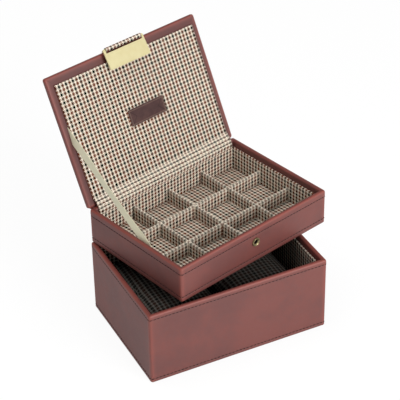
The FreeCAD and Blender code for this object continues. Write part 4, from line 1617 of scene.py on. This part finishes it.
    def strap_tail(self) -> bpy.types.Object:
        """Cloth strap from under the lid's leather, turned down towards the bend."""
        low, high = self.layout.lid.box("strap_tail")
        turn = np.linspace(0, math.pi / 2, 9)
        radius, edge, root = self.strap_radius, -self.layout.half_y, high[2] - self.strap / 2
        bend = pairs(edge - radius * np.sin(turn), root - radius * (1 - np.cos(turn)))
        line = np.vstack([[[edge + 0.4 * MM, root]], bend, [[edge - radius, low[2]]]])
        line = np.column_stack([np.zeros(len(line)), line])
        skin = Skin("strap_tail_cloth")
        band(skin, line, ALONG_X, high[0] - low[0], self.strap, 30, 0.04 * MM, 12 * MM, 3)
        return skin.seated(self.layout.lid, self.finishes.cloth, ["strap_tail"], crease=60)

    def strap_loop(self) -> bpy.types.Object:
        """Cloth loop round the plate's bar: outside a drop shape, inside a round bore.

        The outside is a circle round the bar that runs out straight to the tongue's two edges.
        """
        low, high = self.layout.tab.box("strap_loop")
        outer, half = (high[2] - low[2]) / 2, self.tongue_half
        bar = np.array([self.layout.tab.box("tab_plate")[0][1] + self.bar_inset, (low[2] + high[2]) / 2])
        tongue = self.layout.bend[2]

        def circle(radius: float, start: float, end: float) -> Array:
            turn = np.linspace(start, end, 30)
            return bar + radius * np.column_stack([np.cos(turn), np.sin(turn)])

        tip = np.array([[high[1], tongue + half], [high[1], tongue - half]])
        start = math.asin(min(1.0, (half + tongue - bar[1]) / outer))
        end = 2 * math.pi + math.asin((tongue - half - bar[1]) / outer)
        outside = np.vstack([tip[:1], circle(outer, start, end), tip[1:], tip[:1]])
        bore = circle(outer - self.strap, 0, 2 * math.pi)
        inside = np.vstack([bore[:1], bore, bore[-1:], bore[-1:]])
        xs = np.linspace(low[0], high[0], 30)
        skin = Skin("strap_loop_cloth")
        cloth = grid(xs, run_length(outside))
        for ring in (outside, inside):
            skin.add(np.concatenate([np.broadcast_to(xs[:, None, None], (len(xs), len(ring), 1)),
                                     np.broadcast_to(ring, (len(xs), *ring.shape))], axis=2), cloth)
        for x in (xs[0], xs[-1]):
            skin.add(np.stack([np.column_stack([np.full(len(ring), x), ring]) for ring in (outside, inside)]))
        return skin.seated(self.layout.tab, self.finishes.cloth, ["strap_loop"], crease=50)

    def snap_ring(self) -> bpy.types.Object:
        """Press-snap socket: a rolled ring turned about the snap's axis, its shape fitted to the node."""
        low, high = self.layout.tray.box("tray_snap_ring")
        face, drawn = -self.layout.half_y, np.array(self.ring_shape)
        fit = np.array([(high[0] - low[0]) / 2, face - low[1]]) / drawn.max(axis=0)
        shape = smooth_run(drawn * fit, 34)
        shape = np.vstack([shape, shape[:1]])
        skin = Skin("snap_socket")
        skin.add(lathe(pairs(shape[:, 0], face - shape[:, 1]), np.array([0, 0, (low[2] + high[2]) / 2])))
        return skin.seated(self.layout.tray, self.finishes.ring, ["tray_snap_ring"], crease=60)

    def build(self) -> None:
        """Makes every strip and the snap."""
        self.hinge_cloth()
        self.hinge_leather()
        self.ribbon()
        self.strap_tail()
        self.strap_loop()
        self.snap_ring()


# ---------------------------------------------------------------- camera, floor and lamps
@dataclass(frozen=True)
class Lamp:
    """A square soft box that faces the object; mirrored says whether it shows in glossy surfaces."""

    name: str
    place: tuple[float, float, float]
    size: float
    power: float
    mirrored: bool
    aim: tuple[float, float, float] = (0.0, 0.03, 0.1)

    def build(self) -> None:
        """Hangs the lamp."""
        data = bpy.data.lights.new(self.name, "AREA")
        data.shape = "SQUARE"
        data.size = self.size
        data.energy = self.power
        lamp = bpy.data.objects.new(self.name, data)
        lamp.location = self.place
        lamp.visible_glossy = self.mirrored
        lamp.rotation_euler = (Vector(self.place) - Vector(self.aim)).to_track_quat("Z", "Y").to_euler()
        bpy.context.collection.objects.link(lamp)


@dataclass
class Studio:
    """A pale floor, two soft lamps in a white room, and the camera."""

    azimuth: float = -25.925
    elevation: float = 34.723
    roll: float = -1.12
    target: tuple[float, float, float] = (0.046695, 0.110521, 0.050)
    distance: float = 1.646993
    focal_share: float = 4.15679
    sensor: float = 36.0
    floor_size: float = 6.0
    floor_grey: float = 0.86
    floor_glow: float = 1.03
    seen_share: float = 0.88
    gloss_share: float = 0.45
    room_light: float = 0.38
    lamps: tuple[Lamp, ...] = (Lamp("top", (-0.42, 0.20, 1.6), 1.0, 10.5, False),
                               Lamp("front", (0.55, -1.60, 0.85), 0.9, 27.5, True))

    def camera(self) -> None:
        """Stands the camera on its sphere round the target and rolls it about its own axis."""
        az, el, roll = (math.radians(v) for v in (self.azimuth, self.elevation, self.roll))
        back = Vector((math.sin(az) * math.cos(el), -math.cos(az) * math.cos(el), math.sin(el)))
        right = Vector((0, 0, 1)).cross(back).normalized()
        up = back.cross(right)
        x = right * math.cos(roll) + up * math.sin(roll)
        y = up * math.cos(roll) - right * math.sin(roll)
        data = bpy.data.cameras.new("camera")
        data.sensor_width = self.sensor
        data.lens = self.focal_share * self.sensor
        data.clip_end = 20
        eye = bpy.data.objects.new("camera", data)
        eye.matrix_world = Matrix.Translation(Vector(self.target) + back * self.distance) @ Matrix(
            (x, y, back)).transposed().to_4x4()
        bpy.context.collection.objects.link(eye)
        bpy.context.scene.camera = eye

    def floor(self) -> None:
        """A wide level floor that stays white to the eye and keeps soft shadows."""
        g = Graph("floor_white")
        camera_ray, glossy_ray = (g.node("LightPath", output=f"Is {ray} Ray") for ray in ("Camera", "Glossy"))
        seen = camera_ray + glossy_ray * self.gloss_share
        matt = g.node("BsdfDiffuse", {"Color": (*[self.floor_grey] * 3, 1)})
        glow = g.node("Emission", {"Color": (1, 1, 1, 1), "Strength": self.floor_glow})
        g.close(g.node("MixShader", {0: g.clamp(seen * self.seen_share), 1: matt, 2: glow}))
        half = self.floor_size / 2
        mesh = bpy.data.meshes.new("floor")
        mesh.from_pydata([(x * half, y * half, 0) for x, y in ((-1, -1), (1, -1), (1, 1), (-1, 1))], [],
                         [(0, 1, 2, 3)])
        mesh.materials.append(g.material)
        plane = bpy.data.objects.new("floor", mesh)
        bpy.context.collection.objects.link(plane)

    def room(self) -> None:
        """A white room with one soft box above and one in front."""
        world = bpy.data.worlds.new("room")
        world.use_nodes = True
        inputs = world.node_tree.nodes["Background"].inputs
        inputs["Color"].default_value = (1, 1, 1, 1)
        inputs["Strength"].default_value = self.room_light
        bpy.context.scene.world = world
        for lamp in self.lamps:
            lamp.build()

    def build(self) -> None:
        """Sets the whole stage."""
        self.camera()
        self.floor()
        self.room()
        bpy.context.scene.view_settings.view_transform = "Standard"


def cover_box(name: str, seat: Seat, height: float, layout: Layout, finishes: Wardrobe,
              **looks: object) -> BoxCover:
    """Covers one box in leather, with its stitches.

    Args:
        name: What the box's nodes start with.
        seat: The box's seat.
        height: The box's height.
        layout, finishes: The main sizes and the finishes.
        looks: What else BoxCover takes.

    Returns:
        The cover.
    """
    cover = BoxCover(name, seat, layout.half_x, layout.half_y, height, **looks)
    cover.cover(finishes.leather, [f"{name}_leather_{side}" for side in SIDES])
    cover.stitches(finishes.thread)
    return cover


def line_box(name: str, cover: BoxCover, dress: Dress, dim: float) -> None:
    """Lines a covered box.

    Args:
        name: What the box's nodes start with.
        cover: Its leather.
        dress: The cloth.
        dim: How much painted shade darkens the lining, most at depth.
    """
    low, high = cover.seat.box(f"{name}_lining_front")
    half_x, half_y = cover.half_x - cover.wall, cover.half_y - cover.wall
    lining = Lining(name, cover.seat, half_x, half_y, low[2], high[2], dim)
    lining.build(dress, [f"{name}_lining_{side}" for side in SIDES])


def main() -> None:
    """Builds the pieces in order."""
    logging.basicConfig(level=logging.INFO, format="%(name)s: %(message)s")
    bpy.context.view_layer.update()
    Studio().build()
    layout = Layout()
    finishes = Wardrobe()
    cloth = finishes.cloth
    base = cover_box("base", layout.base, layout.base_height, layout, finishes, rows=(71.3 * MM, 4.0 * MM))
    # Painted shade on the lower box's lining; none on the tray's.
    line_box("base", base, cloth, 0.45)
    tray = cover_box("tray", layout.tray, layout.tray_height, layout, finishes, rows=(29.7 * MM, 5.2 * MM),
                     bored="tray_snap_cup")
    line_box("tray", tray, cloth, 0.0)
    TrayFittings(layout.tray, cloth).build()
    BaseFloor(layout.base, cloth).build()
    for side in ("left", "right"):
        WatchPillow(f"{side}_pillow", replace(layout.base, body=f"pillow_{side}"), cloth).build()
    Lid(layout, finishes).build()
    Soft(layout, finishes).build()
    finishes.dress_nodes()


if __name__ == "__main__":
    main()
